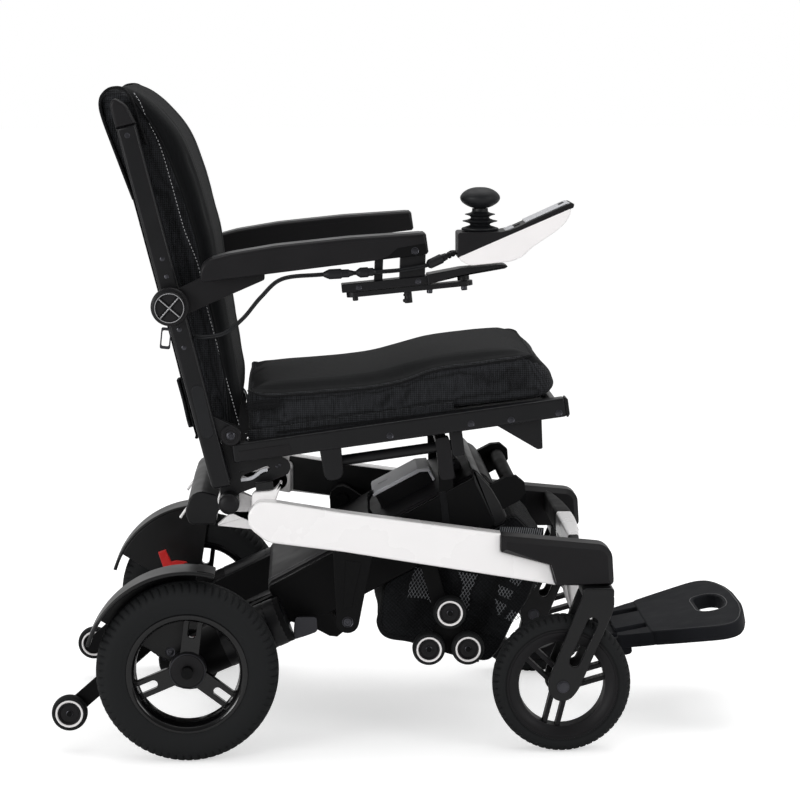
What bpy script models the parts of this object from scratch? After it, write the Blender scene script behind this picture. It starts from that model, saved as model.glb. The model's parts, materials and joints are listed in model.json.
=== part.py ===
"""Folding power wheelchair, built as separate named pieces in metres, +X forward, +Y left, +Z up.

Side profiles are drawn with X measured from the rear axle and Z from the ground. The pieces hang
from one empty that carries the rear axle, so the whole chair is centred over the origin.
"""
import math

import bmesh
import bpy
from mathutils import Matrix, Vector

# Clearances
GAP = 0.0003          # between pieces that touch
RUN = 0.0010          # between pieces that turn past each other

# Wheels
WHEELBASE = 0.538
TYRE_RADIUS = 0.130
TYRE_WIDTH = 0.055
RIM_RADIUS = 0.076
CASTER_RADIUS = 0.100
CASTER_WIDTH = 0.045
CASTER_RIM_RADIUS = 0.060
CASTER_TRAIL = 0.052
ANTI_TIP_RADIUS = 0.0257
ANTI_TIP_WIDTH = 0.020
ANTI_TIP_BACK = 0.173
ANTI_TIP_HEIGHT = 0.0567
ROLLER_RADIUS = 0.0240
ROLLER_WIDTH = 0.024

# Widths, from the middle of the chair outwards
BAY_WIDTH = 0.2994
CHASSIS_ARM_WALL = 0.016
LUG_WALL = 0.016
HINGE_PLATE_WALL = 0.006
SEAT_RAIL_WIDTH = 0.024
BACK_TUBE_WIDTH = 0.028
CASTING_DEPTH = 0.0215
SIDE_RAIL_WIDTH = 0.0295
ARMREST_WIDTH = 0.046
CASTER_OFFSET = 0.011
CUSHION_SIDE_GAP = 0.004
BACK_PAD_SIDE_GAP = 0.003

# Folding linkage: seat tilt, rear seat pivot, span between the seat's two pivots,
# and the depth of the scissor pivot below the line between them
SEAT_TILT = math.radians(7.8)
REAR_PIVOT_X = 0.0595
REAR_PIVOT_Z = 0.3604
PIVOT_SPAN = 0.317
SCISSOR_DEPTH = 0.080
PIN_RADIUS = 0.009

# Seat, measured along the seat (s) and above the line between its pivots (h)
SEAT_RAIL_TOP = 0.0845
SEAT_RAIL_HEIGHT = 0.0276
SEAT_RAIL_START = 0.0155
SEAT_RAIL_END = 0.503
SLIDE_ROD_H = 0.034
SLIDE_ROD_RADIUS = 0.0078
SLIDER_LENGTH = 0.021
BACK_PIVOT_S = 0.0168
BACK_PIVOT_H = 0.098
SEAT_BOARD_WALL = 0.006
CUSHION_TILT = math.radians(6.6)
CUSHION_BACK_X = 0.0835
CUSHION_LENGTH = 0.461
CUSHION_BACK_Z = 0.4572

# Back
BACK_LEAN = math.radians(14.16)
BACK_TUBE_X = 0.0498
BACK_TUBE_Z = 0.3835
BACK_TUBE_LENGTH = 0.534
BACK_TUBE_DEPTH = 0.028
ARMREST_HUB_T = 0.2732
ARMREST_HUB_BACK = 0.0035
STUD_RADIUS = 0.008
HUB_RADIUS = 0.0271
KNOB_RADIUS = 0.0224
KNOB_RING = 0.012
KNOB_DEPTH = 0.028
KNOB_FACE = 0.004

# Armrests
ARMREST_REAR_X = 0.0237
ARMREST_FRONT_X = 0.344
ARMREST_REAR_Z = 0.6835
ARMREST_TILT = math.radians(7.0)
ARMREST_EYE = 0.024
ARMREST_PLATE_IN = 0.004
ARMREST_PLATE_WALL = 0.008

# Controller
MOUNT_TILT = math.radians(5.6)
SWING_REAR_X = 0.2406
SWING_REAR_Z = 0.6650
SWING_LENGTH = 0.155
SWING_ARM_WIDTH = 0.024
SWING_ARM_WALL = 0.007
MOUNT_WIDTH = 0.028
MOUNT_PIN_RADIUS = 0.004
PLATE_RISE = 0.0259
CONTROLLER_WIDTH = 0.066
CONTROLLER_SLOPE = math.radians(24.05)
JOYSTICK_X = 0.417
BUTTON_PLACE = 0.012
BUTTON_LENGTH = 0.009
BUTTON_WIDTH = 0.014
BUTTON_TRAVEL = 0.0012
CABLE_RADIUS = 0.0030

# Chassis
BEAM_TILT = math.radians(28.1)
BEAM_START_X = 0.110
BEAM_START_Z = 0.2285
BEAM_DEPTH = 0.0816
BEAM_LENGTH = 0.352
MOTOR_RADIUS = 0.034
MOTOR_LENGTH = 0.152
GEARBOX_RADIUS = 0.045
MUDGUARD_RADIUS = 0.1425
MUDGUARD_WALL = 0.006
BATTERY_START = 0.1985
BATTERY_WIDTH = 0.096
BATTERY_LENGTH = 0.0865
BATTERY_RISE = 0.0285
LID_WALL = 0.006
LID_BEND = 0.0115
LID_DROP = 0.007
LID_LAP = 0.0045

# Footplate
FOOTPLATE_TILT = math.radians(11.0)
FOOTPLATE_REACH = 0.042
FOOTPLATE_HINGE_Z = 0.104
FOOTPLATE_LENGTH = 0.210
FOOTPLATE_WALL = 0.022
FOOTPLATE_WIDTH = 0.316
PLATE_LIFT = 0.006

# Worked-out places across the chair
ARM_IN = BAY_WIDTH / 2 + GAP
ARM_OUT = ARM_IN + CHASSIS_ARM_WALL
LUG_IN = ARM_OUT + 2 * RUN
LUG_OUT = LUG_IN + LUG_WALL
PLATE_IN = LUG_OUT + RUN / 2
PLATE_OUT = PLATE_IN + HINGE_PLATE_WALL
RAIL_IN = PLATE_OUT + RUN / 2
RAIL_OUT = RAIL_IN + SEAT_RAIL_WIDTH
TUBE_OUT = RAIL_IN + BACK_TUBE_WIDTH
ARMREST_IN = TUBE_OUT + RUN / 2
ARMREST_OUT = ARMREST_IN + ARMREST_WIDTH
SIDE_IN = PLATE_OUT + CASTING_DEPTH
SIDE_OUT = SIDE_IN + SIDE_RAIL_WIDTH
WHEEL_IN = SIDE_OUT + RUN
WHEEL_Y = WHEEL_IN + TYRE_WIDTH / 2
CASTER_Y = (SIDE_IN + SIDE_OUT) / 2 + CASTER_OFFSET
ARM_PLATE_OUT = ARMREST_IN + ARMREST_PLATE_IN + ARMREST_PLATE_WALL
KNOB_IN = ARM_PLATE_OUT + RUN
KNOB_OUT = KNOB_IN + KNOB_DEPTH
STUD_END = KNOB_OUT - KNOB_FACE
CONTROLLER_Y = (ARMREST_IN + ARMREST_OUT) / 2
CUSHION_WIDTH = 2 * (RAIL_IN - CUSHION_SIDE_GAP)
BACK_PAD_WIDTH = 2 * (RAIL_IN - BACK_PAD_SIDE_GAP)

# Worked-out places along the side profile
SWIVEL_X = WHEELBASE + CASTER_TRAIL
CROSS_X = SWIVEL_X - 0.024
RAIL_STEP_X = SWIVEL_X - 0.1409
RAIL_NOTCH_X = SWIVEL_X - 0.0702
RAIL_TIP_X = SWIVEL_X - 0.0614
FOOTPLATE_HINGE_X = SWIVEL_X + FOOTPLATE_REACH
FOOTPLATE_TIP_X = (FOOTPLATE_HINGE_X + FOOTPLATE_LENGTH * math.cos(FOOTPLATE_TILT)
                   - PLATE_LIFT * math.sin(FOOTPLATE_TILT))
REAR_X = -(FOOTPLATE_TIP_X - ANTI_TIP_BACK - ANTI_TIP_RADIUS) / 2
AXLE = (0.0, TYRE_RADIUS)
CASTER_AXLE = (WHEELBASE, CASTER_RADIUS)
FORK_TOP = 0.2435

SIDES = (("left", 1), ("right", -1))


def turn(point, angle):
    """A profile point turned by an angle, from +X towards +Z."""
    x, z = point
    return (x * math.cos(angle) - z * math.sin(angle), x * math.sin(angle) + z * math.cos(angle))


def shift(point, by):
    return (point[0] + by[0], point[1] + by[1])


def on_line(origin, angle, along, above=0.0):
    """A profile point placed along a tilted line from an origin, and square to it."""
    return shift(origin, turn((along, above), angle))


def seat_point(s, h):
    return on_line((REAR_PIVOT_X, REAR_PIVOT_Z), SEAT_TILT, s, h)


def back_point(t, d=0.0):
    """A point t up the back tube's centre line and d in front of it."""
    return on_line((BACK_TUBE_X, BACK_TUBE_Z), math.pi / 2 + BACK_LEAN, t, -d)


def beam_point(s, h):
    """A point s along the chassis beam's top face and h above it."""
    return on_line((BEAM_START_X, BEAM_START_Z), BEAM_TILT, s, h)


REAR_PIVOT = seat_point(0, 0)
SLIDER_PIVOT = seat_point(PIVOT_SPAN, 0)
SCISSOR = seat_point(PIVOT_SPAN / 2, -SCISSOR_DEPTH)
BACK_PIVOT = seat_point(BACK_PIVOT_S, BACK_PIVOT_H)
HUB = back_point(ARMREST_HUB_T, -ARMREST_HUB_BACK)


def material(name, colour, roughness, metallic=0.0):
    made = bpy.data.materials.new(name)
    made.use_nodes = True
    shader = made.node_tree.nodes["Principled BSDF"]
    shader.inputs["Base Color"].default_value = (*colour, 1)
    shader.inputs["Roughness"].default_value = roughness
    shader.inputs["Metallic"].default_value = metallic
    made.diffuse_color = (*colour, 1)
    return made


# Outlines in the side profile

def arc(centre, radius, start, end, steps):
    """Points on an arc, angles in degrees from +X towards +Z."""
    angles = [math.radians(start + (end - start) * i / steps) for i in range(steps + 1)]
    return [(centre[0] + radius * math.cos(a), centre[1] + radius * math.sin(a)) for a in angles]


def disc(centre, radius, steps=20):
    return arc(centre, radius, 0, 360 - 360 / steps, steps - 1)


def capsule(a, b, radius, steps=6):
    """A strip with round ends from a to b."""
    tilt = math.degrees(math.atan2(b[1] - a[1], b[0] - a[0]))
    return arc(b, radius, tilt - 90, tilt + 90, steps) + arc(a, radius, tilt + 90, tilt + 270, steps)


def rounded(points, radius, steps=3, sharp=()):
    """An outline with its corners rounded off, except those numbered in sharp."""
    out = []
    for i, corner in enumerate(points):
        if i in sharp:
            out.append(corner)
            continue
        here = Vector(corner)
        before = Vector(points[i - 1]) - here
        after = Vector(points[(i + 1) % len(points)]) - here
        reach = min(radius, before.length / 2.2, after.length / 2.2)
        start, end = here + before.normalized() * reach, here + after.normalized() * reach
        for k in range(steps + 1):
            t = k / steps
            out.append(tuple((1 - t) ** 2 * start + 2 * t * (1 - t) * here + t * t * end))
    return out


def slab(start, end, low, high, point=seat_point):
    """A rectangle between two places along a tilted line and two heights above it."""
    return [point(start, low), point(end, low), point(end, high), point(start, high)]


# Solids

def finish(bm, name):
    bmesh.ops.remove_doubles(bm, verts=bm.verts, dist=1e-6)
    bmesh.ops.recalc_face_normals(bm, faces=bm.faces)
    mesh = bpy.data.meshes.new(name)
    bm.to_mesh(mesh)
    bm.free()
    return mesh


def prism(outline, y0, y1):
    """An outline of the side profile, extruded across the chair from y0 to y1."""
    bm = bmesh.new()
    low, high = min(y0, y1), max(y0, y1)
    face = bm.faces.new([bm.verts.new((x, low, z)) for x, z in outline])
    grown = bmesh.ops.extrude_face_region(bm, geom=[face])["geom"]
    verts = [v for v in grown if isinstance(v, bmesh.types.BMVert)]
    bmesh.ops.translate(bm, verts=verts, vec=(0, high - low, 0))
    return finish(bm, "prism")


def plan_prism(outline, low, high, matrix):
    """An outline drawn in plan, extruded upwards, then placed by a matrix."""
    bm = bmesh.new()
    face = bm.faces.new([bm.verts.new((x, y, low)) for x, y in outline])
    grown = bmesh.ops.extrude_face_region(bm, geom=[face])["geom"]
    verts = [v for v in grown if isinstance(v, bmesh.types.BMVert)]
    bmesh.ops.translate(bm, verts=verts, vec=(0, 0, high - low))
    bmesh.ops.transform(bm, verts=bm.verts, matrix=matrix)
    return finish(bm, "plan")


def turned(profile, centre, steps, axis="Y"):
    """A profile of (radius, offset) points spun about an axis through centre."""
    bm = bmesh.new()
    ring = [bm.verts.new((r, o, 0)) for r, o in profile]
    pairs = list(zip(ring, ring[1:] + ring[:1]))
    edges = [bm.edges.new(p) for p in pairs if p[0].co.x > 0 or p[1].co.x > 0]
    bmesh.ops.spin(bm, geom=ring + edges, cent=(0, 0, 0), axis=(0, 1, 0),
                   angle=2 * math.pi, steps=steps, use_merge=True)
    if axis == "Z":
        bmesh.ops.rotate(bm, verts=bm.verts, matrix=Matrix.Rotation(math.pi / 2, 3, "X"))
    bmesh.ops.translate(bm, verts=bm.verts, vec=centre)
    return finish(bm, "turned")


def rod(start, end, radius, steps=12):
    """A round bar between two points in space."""
    start, end = Vector(start), Vector(end)
    bm = bmesh.new()
    bmesh.ops.create_cone(bm, cap_ends=True, segments=steps, radius1=radius, radius2=radius,
                          depth=(end - start).length)
    aim = (end - start).to_track_quat("Z", "Y").to_matrix().to_4x4()
    bmesh.ops.transform(bm, verts=bm.verts, matrix=Matrix.Translation((start + end) / 2) @ aim)
    return finish(bm, "rod")


def cross_rod(point, y0, y1, radius, steps=16):
    """A round bar across the chair through a profile point."""
    low, high = min(y0, y1), max(y0, y1)
    return turned([(0, low), (radius, low), (radius, high), (0, high)], (point[0], 0, point[1]), steps)


def small_wheel(centre, y0, y1, radius, steps=20):
    """A solid wheel with chamfered rims."""
    low, high, edge = min(y0, y1), max(y0, y1), radius * 0.14
    return turned([(0, low), (radius - edge, low), (radius, low + edge), (radius, high - edge),
                   (radius - edge, high), (0, high)], (centre[0], 0, centre[1]), steps)


def loft(rings):
    """A closed solid through rings of equally many points, capped at both ends."""
    bm = bmesh.new()
    made = [[bm.verts.new(p) for p in ring] for ring in rings]
    for a, b in zip(made, made[1:]):
        for i in range(len(a)):
            j = (i + 1) % len(a)
            bm.faces.new((a[i], a[j], b[j], b[i]))
    bm.faces.new(made[0])
    bm.faces.new(made[-1])
    return finish(bm, "loft")


# Nodes

def pivot(name, point, y=0.0, parent=None):
    """An empty on a joint's axis, which carries the pieces that move with it."""
    made = bpy.data.objects.new(name, None)
    PLACES[name] = Vector((point[0], y, point[1]))
    bpy.context.collection.objects.link(made)
    made.parent = parent or CHAIR
    made.location = PLACES[name] - PLACES[made.parent.name]
    return made


def place(name, mesh, look, parent, smooth=True):
    mesh.name = name
    mesh.materials.clear()
    mesh.materials.append(look)
    if smooth:
        mesh.shade_smooth()
        mesh.set_sharp_from_angle(angle=math.radians(35))
    made = bpy.data.objects.new(name, mesh)
    bpy.context.collection.objects.link(made)
    made.parent = parent
    made.location = -PLACES[parent.name]
    return made


def node(name, look, parent, base, add=(), cut=()):
    """One named piece: a base solid with others welded on, then others cut away."""
    made = place(name, base, look, parent)
    steps = [("UNION", mesh) for mesh in add] + [("DIFFERENCE", mesh) for mesh in cut]
    for i, (operation, mesh) in enumerate(steps):
        helper = place(f"{name}.{i}", mesh, look, parent, smooth=False)
        helper.hide_render = True
        helper.display_type = "WIRE"
        modifier = made.modifiers.new(f"{operation} {i}", "BOOLEAN")
        modifier.operation = operation
        modifier.solver = "EXACT"
        modifier.object = helper
    return made


for old in list(bpy.data.objects):
    bpy.data.objects.remove(old, do_unlink=True)

CHAIR = bpy.data.objects.new("chair_rear_axle", None)
CHAIR.location = (REAR_X, 0, 0)
bpy.context.collection.objects.link(CHAIR)
PLACES = {CHAIR.name: Vector((0, 0, 0))}

WHITE = material("white_gloss_paint", (0.86, 0.86, 0.87), 0.22)
BLACK = material("black_satin_paint", (0.022, 0.022, 0.024), 0.42)
PLASTIC = material("black_moulded_plastic", (0.018, 0.018, 0.019), 0.5)
RUBBER = material("tyre_rubber", (0.012, 0.012, 0.013), 0.75)
GLOSS = material("black_gloss_rim", (0.010, 0.010, 0.011), 0.16)
GREY = material("light_grey_plastic", (0.50, 0.51, 0.53), 0.4)
RED = material("red_plastic", (0.62, 0.02, 0.015), 0.4)
CLOTH = material("black_woven_fabric", (0.016, 0.016, 0.018), 0.85)
MESH = material("black_mesh_fabric", (0.030, 0.030, 0.032), 0.9)
STEEL = material("black_zinc_steel", (0.05, 0.05, 0.055), 0.35, 1.0)

# Joint axes of the folding frame
FRONT = pivot("fold_axis", SCISSOR)
SEAT = pivot("seat_axis", REAR_PIVOT, 0.0, FRONT)
CARRIAGE = pivot("carriage_axis", SLIDER_PIVOT)
BACK = pivot("back_axis", BACK_PIVOT, 0.0, SEAT)


# Drive wheels

def tyre_profile(radius, rim, width, crown):
    """Half-round tread over straight walls, from the inner bead round to the outer bead."""
    half = width / 2
    tread = radius - crown
    return [
        (rim, -half * 0.72), (rim + crown * 0.5, -half * 0.96), (tread - crown * 0.5, -half),
        (tread + crown * 0.45, -half * 0.82), (radius, -half * 0.40), (radius, half * 0.40),
        (tread + crown * 0.45, half * 0.82), (tread - crown * 0.5, half),
        (rim + crown * 0.5, half * 0.96), (rim, half * 0.72),
    ]


def wheel_rim(name, parent, axle, y, radius, lip, width, bore, hub, spoke_width, start, steps=36):
    """A rim barrel with three pairs of spokes, a hub and a through bore."""
    half = width * 0.34
    barrel = turned([(radius - lip, -half), (radius - GAP, -half), (radius - GAP, half),
                     (radius - lip, half)], (axle[0], y, axle[1]), steps)
    reach = radius - lip * 0.6
    spokes = []
    for k in range(3):
        for side in (-1, 1):
            angle = math.radians(start + 120 * k + 11 * side)
            root = shift(axle, turn((hub * 0.55, side * spoke_width * 0.75), angle))
            tip = shift(axle, turn((reach, side * spoke_width * 0.2), angle))
            spokes.append(prism(capsule(root, tip, spoke_width / 2, 2), y - half * 0.5, y + half * 0.5))
    core = cross_rod(axle, y - width * 0.42, y + width * 0.42, hub, 20)
    hole = cross_rod(axle, y - width, y + width, bore, 16)
    return node(name, GLOSS, parent, barrel, [core, *spokes], [hole])


AXLE_RADIUS = 0.0085
SMALL_PIN = 0.004
for side, sign in SIDES:
    y = sign * WHEEL_Y
    wheel = pivot(f"drive_axis_{side}", AXLE, y)
    node(f"drive_tyre_{side}", RUBBER, wheel,
         turned(tyre_profile(TYRE_RADIUS, RIM_RADIUS, TYRE_WIDTH, 0.017), (0, y, AXLE[1]), 36))
    wheel_rim(f"drive_rim_{side}", wheel, AXLE, y, RIM_RADIUS, 0.010, TYRE_WIDTH,
              AXLE_RADIUS + RUN, 0.024, 0.011, 90)


# Chassis: two side arms on a cross-braced rear axle, the roller brackets, and the pivot lugs

ROLLER_CENTRE = (0.3772, 0.158)
ROLLER_SPREAD = 0.0345
ROLLERS = {
    "top": shift(ROLLER_CENTRE, (0.002, ROLLER_SPREAD)),
    "rear": shift(ROLLER_CENTRE, turn((ROLLER_SPREAD, 0), math.radians(214))),
    "front": shift(ROLLER_CENTRE, turn((ROLLER_SPREAD, 0), math.radians(-34))),
}
ROLLER_PLATE_WALL = 0.005
ROLLER_PLATE_OUT = ARM_OUT + ROLLER_PLATE_WALL
ROLLER_IN = ROLLER_PLATE_OUT + RUN
AXLE_TUBE_RADIUS = 0.018
LOW_BRACE = beam_point(0.060, -BEAM_DEPTH - 0.020)
FRONT_BRACE = beam_point(BEAM_LENGTH + 0.034, -BEAM_DEPTH * 0.55)


def chassis_arm(sign):
    """One side arm: a plate along the beam with lugs to the axle, the scissor pin and the slider."""
    y0, y1 = sign * ARM_IN, sign * ARM_OUT
    mid = -BEAM_DEPTH / 2
    foot = beam_point(0.02, mid)
    return [
        prism(capsule(foot, FRONT_BRACE, 0.020, 4), y0, y1),
        prism(capsule(AXLE, foot, 0.024), y0, y1),
        prism(capsule(beam_point(0.165, mid), SCISSOR, 0.020), y0, y1),
        prism(capsule(beam_point(0.28, mid), SLIDER_PIVOT, 0.0105, 4), y0, y1),
        prism(capsule(foot, LOW_BRACE, 0.015, 4), y0, y1),
        prism(capsule(beam_point(0.235, mid), ROLLER_CENTRE, 0.011, 3), y0, y1),
        prism(rounded([shift(ROLLERS["top"], (0, 0.008)), shift(ROLLERS["rear"], (-0.010, -0.006)),
                       shift(ROLLERS["front"], (0.010, -0.006))], 0.006),
              sign * (ARM_OUT - RUN), sign * ROLLER_PLATE_OUT),
    ]


def roller_pins(sign):
    return [cross_rod(p, sign * (ROLLER_PLATE_OUT - RUN), sign * (ROLLER_IN + ROLLER_WIDTH), SMALL_PIN, 8)
            for p in ROLLERS.values()]


arms = chassis_arm(1) + chassis_arm(-1)
braces = [cross_rod(p, -ARM_IN - RUN, ARM_IN + RUN, r, 12)
          for p, r in ((AXLE, AXLE_TUBE_RADIUS), (LOW_BRACE, 0.011), (FRONT_BRACE, 0.011))]
bores = [cross_rod(p, s * (ARM_IN - 0.01), s * (ARM_OUT + RUN / 2), PIN_RADIUS + RUN / 2, 20)
         for p in (SCISSOR,) for s in (1, -1)]
slider_bores = [cross_rod(SLIDER_PIVOT, s * (ARM_IN - 0.01), s * (ARM_OUT + 0.01), 0.0052 + RUN / 2, 16)
                for s in (1, -1)]
node("chassis_frame", BLACK, CHAIR, arms[0],
     arms[1:] + braces + roller_pins(1) + roller_pins(-1), bores + slider_bores)

for side, sign in SIDES:
    for place_name, centre in ROLLERS.items():
        y0, y1 = sign * ROLLER_IN, sign * (ROLLER_IN + ROLLER_WIDTH)
        spindle = pivot(f"roller_axis_{place_name}_{side}", centre, (y0 + y1) / 2)
        bore = cross_rod(centre, y0 - sign * 0.01, y1 + sign * 0.01, SMALL_PIN + RUN / 2, 12)
        node(f"roller_{place_name}_{side}", PLASTIC, spindle,
             small_wheel(centre, y0, y1, ROLLER_RADIUS), [], [bore])


# Gear motors, brake release levers, mudguards and anti-tip wheels

GEARBOX_IN = ARM_OUT + GAP
GEARBOX_OUT = GEARBOX_IN + 0.037
MOTOR_ANGLE = math.radians(23)
LEVER_PIVOT = (-0.020, 0.1845)
LEVER_TIP = (-0.060, 0.2085)
LEVER_WALL = 0.007
LEVER_STANDOFF = 0.012
GUARD_STUB = (-0.026, 0.150)
ANTI_TIP_AXLE = (-ANTI_TIP_BACK, ANTI_TIP_HEIGHT)
ANTI_TIP_ELBOW = (-0.052, 0.163)
ANTI_TIP_ARM_WALL = 0.006

for side, sign in SIDES:
    y0, y1 = sign * GEARBOX_IN, sign * GEARBOX_OUT
    middle = sign * (GEARBOX_IN + MOTOR_RADIUS + RUN / 2)
    nose = on_line(AXLE, MOTOR_ANGLE, MOTOR_LENGTH)
    barrel = rod((AXLE[0], middle, AXLE[1]), (nose[0], middle, nose[1]), MOTOR_RADIUS, 24)
    lever_in, lever_out = GEARBOX_IN + LEVER_STANDOFF + RUN, GEARBOX_IN + LEVER_STANDOFF + RUN + LEVER_WALL
    lever_lug = prism(capsule(AXLE, LEVER_PIVOT, 0.011), y0, sign * (GEARBOX_IN + LEVER_STANDOFF))
    lever_pin = cross_rod(LEVER_PIVOT, y0, sign * (lever_out + RUN), SMALL_PIN, 10)
    axle_shaft = cross_rod(AXLE, y0, sign * (WHEEL_Y + TYRE_WIDTH * 0.40), AXLE_RADIUS, 16)
    arm_in, arm_out = sign * (GEARBOX_OUT - RUN), sign * (GEARBOX_OUT + ANTI_TIP_ARM_WALL)
    tip_in = GEARBOX_OUT + ANTI_TIP_ARM_WALL + RUN
    tip_pin = cross_rod(ANTI_TIP_AXLE, arm_in, sign * (tip_in + ANTI_TIP_WIDTH), SMALL_PIN, 10)
    arm_bar = prism(capsule(ANTI_TIP_AXLE, ANTI_TIP_ELBOW, 0.012), arm_in, arm_out)
    arm_root = prism(capsule(ANTI_TIP_ELBOW, (-0.026, 0.150), 0.012), arm_in, arm_out)
    node(f"drive_motor_{side}", BLACK, CHAIR, prism(disc(AXLE, GEARBOX_RADIUS, 28), y0, y1),
         [barrel, lever_lug, lever_pin, axle_shaft, arm_root, arm_bar, tip_pin])

    lever_axis = pivot(f"lever_axis_{side}", LEVER_PIVOT, sign * (lever_in + lever_out) / 2)
    node(f"brake_lever_{side}", RED, lever_axis,
         prism(disc(LEVER_PIVOT, 0.009, 16), sign * lever_in, sign * lever_out),
         [prism(capsule(LEVER_PIVOT, LEVER_TIP, 0.0055), sign * (lever_in + RUN), sign * (lever_out - RUN))],
         [cross_rod(LEVER_PIVOT, sign * (lever_in - 0.01), sign * (lever_out + 0.01),
                    SMALL_PIN + RUN / 2, 12)])

    tip_axis = pivot(f"anti_tip_axis_{side}", ANTI_TIP_AXLE, sign * (tip_in + ANTI_TIP_WIDTH / 2))
    node(f"anti_tip_wheel_{side}", RUBBER, tip_axis,
         small_wheel(ANTI_TIP_AXLE, sign * tip_in, sign * (tip_in + ANTI_TIP_WIDTH), ANTI_TIP_RADIUS), [],
         [cross_rod(ANTI_TIP_AXLE, sign * (tip_in - 0.01), sign * (tip_in + ANTI_TIP_WIDTH + 0.01),
                    SMALL_PIN + RUN / 2, 12)])

    inner, outer = MUDGUARD_RADIUS, MUDGUARD_RADIUS + MUDGUARD_WALL
    skirt_in, skirt_out = WHEEL_IN - 0.004, WHEEL_IN - RUN
    strip = arc(AXLE, outer, 74, 163.5, 16) + arc(AXLE, inner, 163.5, 74, 16)
    skirt = arc(AXLE, inner + 0.001, 84, 152, 12) + arc(AXLE, 0.020, 172, 100, 4)
    stub = cross_rod(GUARD_STUB, sign * (GEARBOX_OUT + ANTI_TIP_ARM_WALL + GAP), sign * skirt_out, 0.008, 12)
    node(f"mudguard_{side}", PLASTIC, CHAIR, prism(strip, sign * skirt_in, sign * (WHEEL_IN + TYRE_WIDTH)),
         [prism(skirt, sign * skirt_in, sign * skirt_out), stub],
         [cross_rod(AXLE, sign * (skirt_in - 0.01), sign * (skirt_out + 0.01), AXLE_RADIUS + 2 * RUN, 16)])


# Battery bay, battery and lid

BAY_HALF = BAY_WIDTH / 2
BATTERY_S = (BATTERY_START, BATTERY_START + BATTERY_LENGTH)
BATTERY_SINK = 0.055

bay_outline = [beam_point(0, 0), beam_point(BEAM_LENGTH, 0), beam_point(BEAM_LENGTH + 0.010, -0.012),
               beam_point(BEAM_LENGTH + 0.013, -0.040), beam_point(BEAM_LENGTH + 0.004, -BEAM_DEPTH),
               beam_point(0.020, -BEAM_DEPTH), beam_point(0, -BEAM_DEPTH + 0.02)]
battery_hole = slab(BATTERY_S[0] - GAP, BATTERY_S[1] + GAP, -BATTERY_SINK - GAP, 0.05, beam_point)
node("battery_bay", PLASTIC, CHAIR, prism(rounded(bay_outline, 0.010, 2), -BAY_HALF, BAY_HALF), [],
     [prism(battery_hole, -BATTERY_WIDTH / 2 - GAP, BATTERY_WIDTH / 2 + GAP)])
# The lid is level to the bend, then falls by LID_DROP to its front edge, where a lip covers the battery.
lid_low = BATTERY_RISE - LID_WALL
lid_bend = BATTERY_S[1] - LID_BEND
lid_front = BATTERY_S[1] + LID_LAP
front_drop = LID_DROP * LID_BEND / (LID_BEND + LID_LAP)
battery_outline = [beam_point(BATTERY_S[0], -BATTERY_SINK), beam_point(BATTERY_S[1], -BATTERY_SINK),
                   beam_point(BATTERY_S[1], lid_low - front_drop - GAP), beam_point(lid_bend, lid_low - GAP),
                   beam_point(BATTERY_S[0], lid_low - GAP)]
node("battery_pack", PLASTIC, CHAIR, prism(battery_outline, -BATTERY_WIDTH / 2, BATTERY_WIDTH / 2))
lid_outline = [beam_point(BATTERY_S[0] - 0.003, lid_low), beam_point(lid_bend, lid_low),
               beam_point(lid_front, lid_low - LID_DROP), beam_point(lid_front, BATTERY_RISE - LID_DROP),
               beam_point(lid_bend, BATTERY_RISE), beam_point(BATTERY_S[0], BATTERY_RISE),
               beam_point(BATTERY_S[0] - 0.003, BATTERY_RISE - 0.003)]
lid_lip = slab(BATTERY_S[1] + GAP, lid_front, RUN, lid_low - front_drop + RUN, beam_point)
handle_cut = slab(BATTERY_S[0] + 0.010, BATTERY_S[0] + 0.027, BATTERY_RISE - LID_WALL / 2,
                  BATTERY_RISE + 0.01, beam_point)
node("battery_lid", GREY, CHAIR,
     prism(lid_outline, -BATTERY_WIDTH / 2 - 0.002, BATTERY_WIDTH / 2 + 0.002),
     [prism(lid_lip, -BATTERY_WIDTH / 2, BATTERY_WIDTH / 2)],
     [prism(handle_cut, -0.006, 0.006)])


# Storage basket: a thin open box hung under the bay

BASKET_WALL = 0.004
BASKET_HALF = BAY_HALF - 0.001
basket_outline = [beam_point(0.147, -BEAM_DEPTH - GAP), (0.2871, 0.150), (0.300, 0.136),
                  (CROSS_X - 0.1234, 0.106), (CROSS_X - 0.108, 0.128), (CROSS_X - 0.092, 0.165),
                  (CROSS_X - 0.066, 0.205), (CROSS_X - 0.051, 0.250), (CROSS_X - 0.049, 0.290),
                  beam_point(BEAM_LENGTH + 0.020, -BEAM_DEPTH - GAP)]


def inset(points, by):
    """The outline drawn in by a wall thickness, each corner along its bisector."""
    out = []
    for i, corner in enumerate(points):
        here = Vector(corner)
        to_next = (Vector(points[(i + 1) % len(points)]) - here).normalized()
        from_last = (here - Vector(points[i - 1])).normalized()
        normal = Vector((-to_next.y - from_last.y, to_next.x + from_last.x)).normalized()
        lean = max(0.5, Vector((-to_next.y, to_next.x)).dot(normal))
        out.append(tuple(here + normal * by / lean))
    return out


hollow = inset(basket_outline, BASKET_WALL)
hollow[0] = shift(hollow[0], (-0.010, 0.05))
hollow[-1] = shift(hollow[-1], (0.004, 0.05))
node("storage_basket", MESH, CHAIR, prism(basket_outline, -BASKET_HALF, BASKET_HALF), [],
     [prism(hollow, -BASKET_HALF + BASKET_WALL, BASKET_HALF - BASKET_WALL)])


# Front frame: white side rails with their rear castings, caps, brackets and cross members

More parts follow.
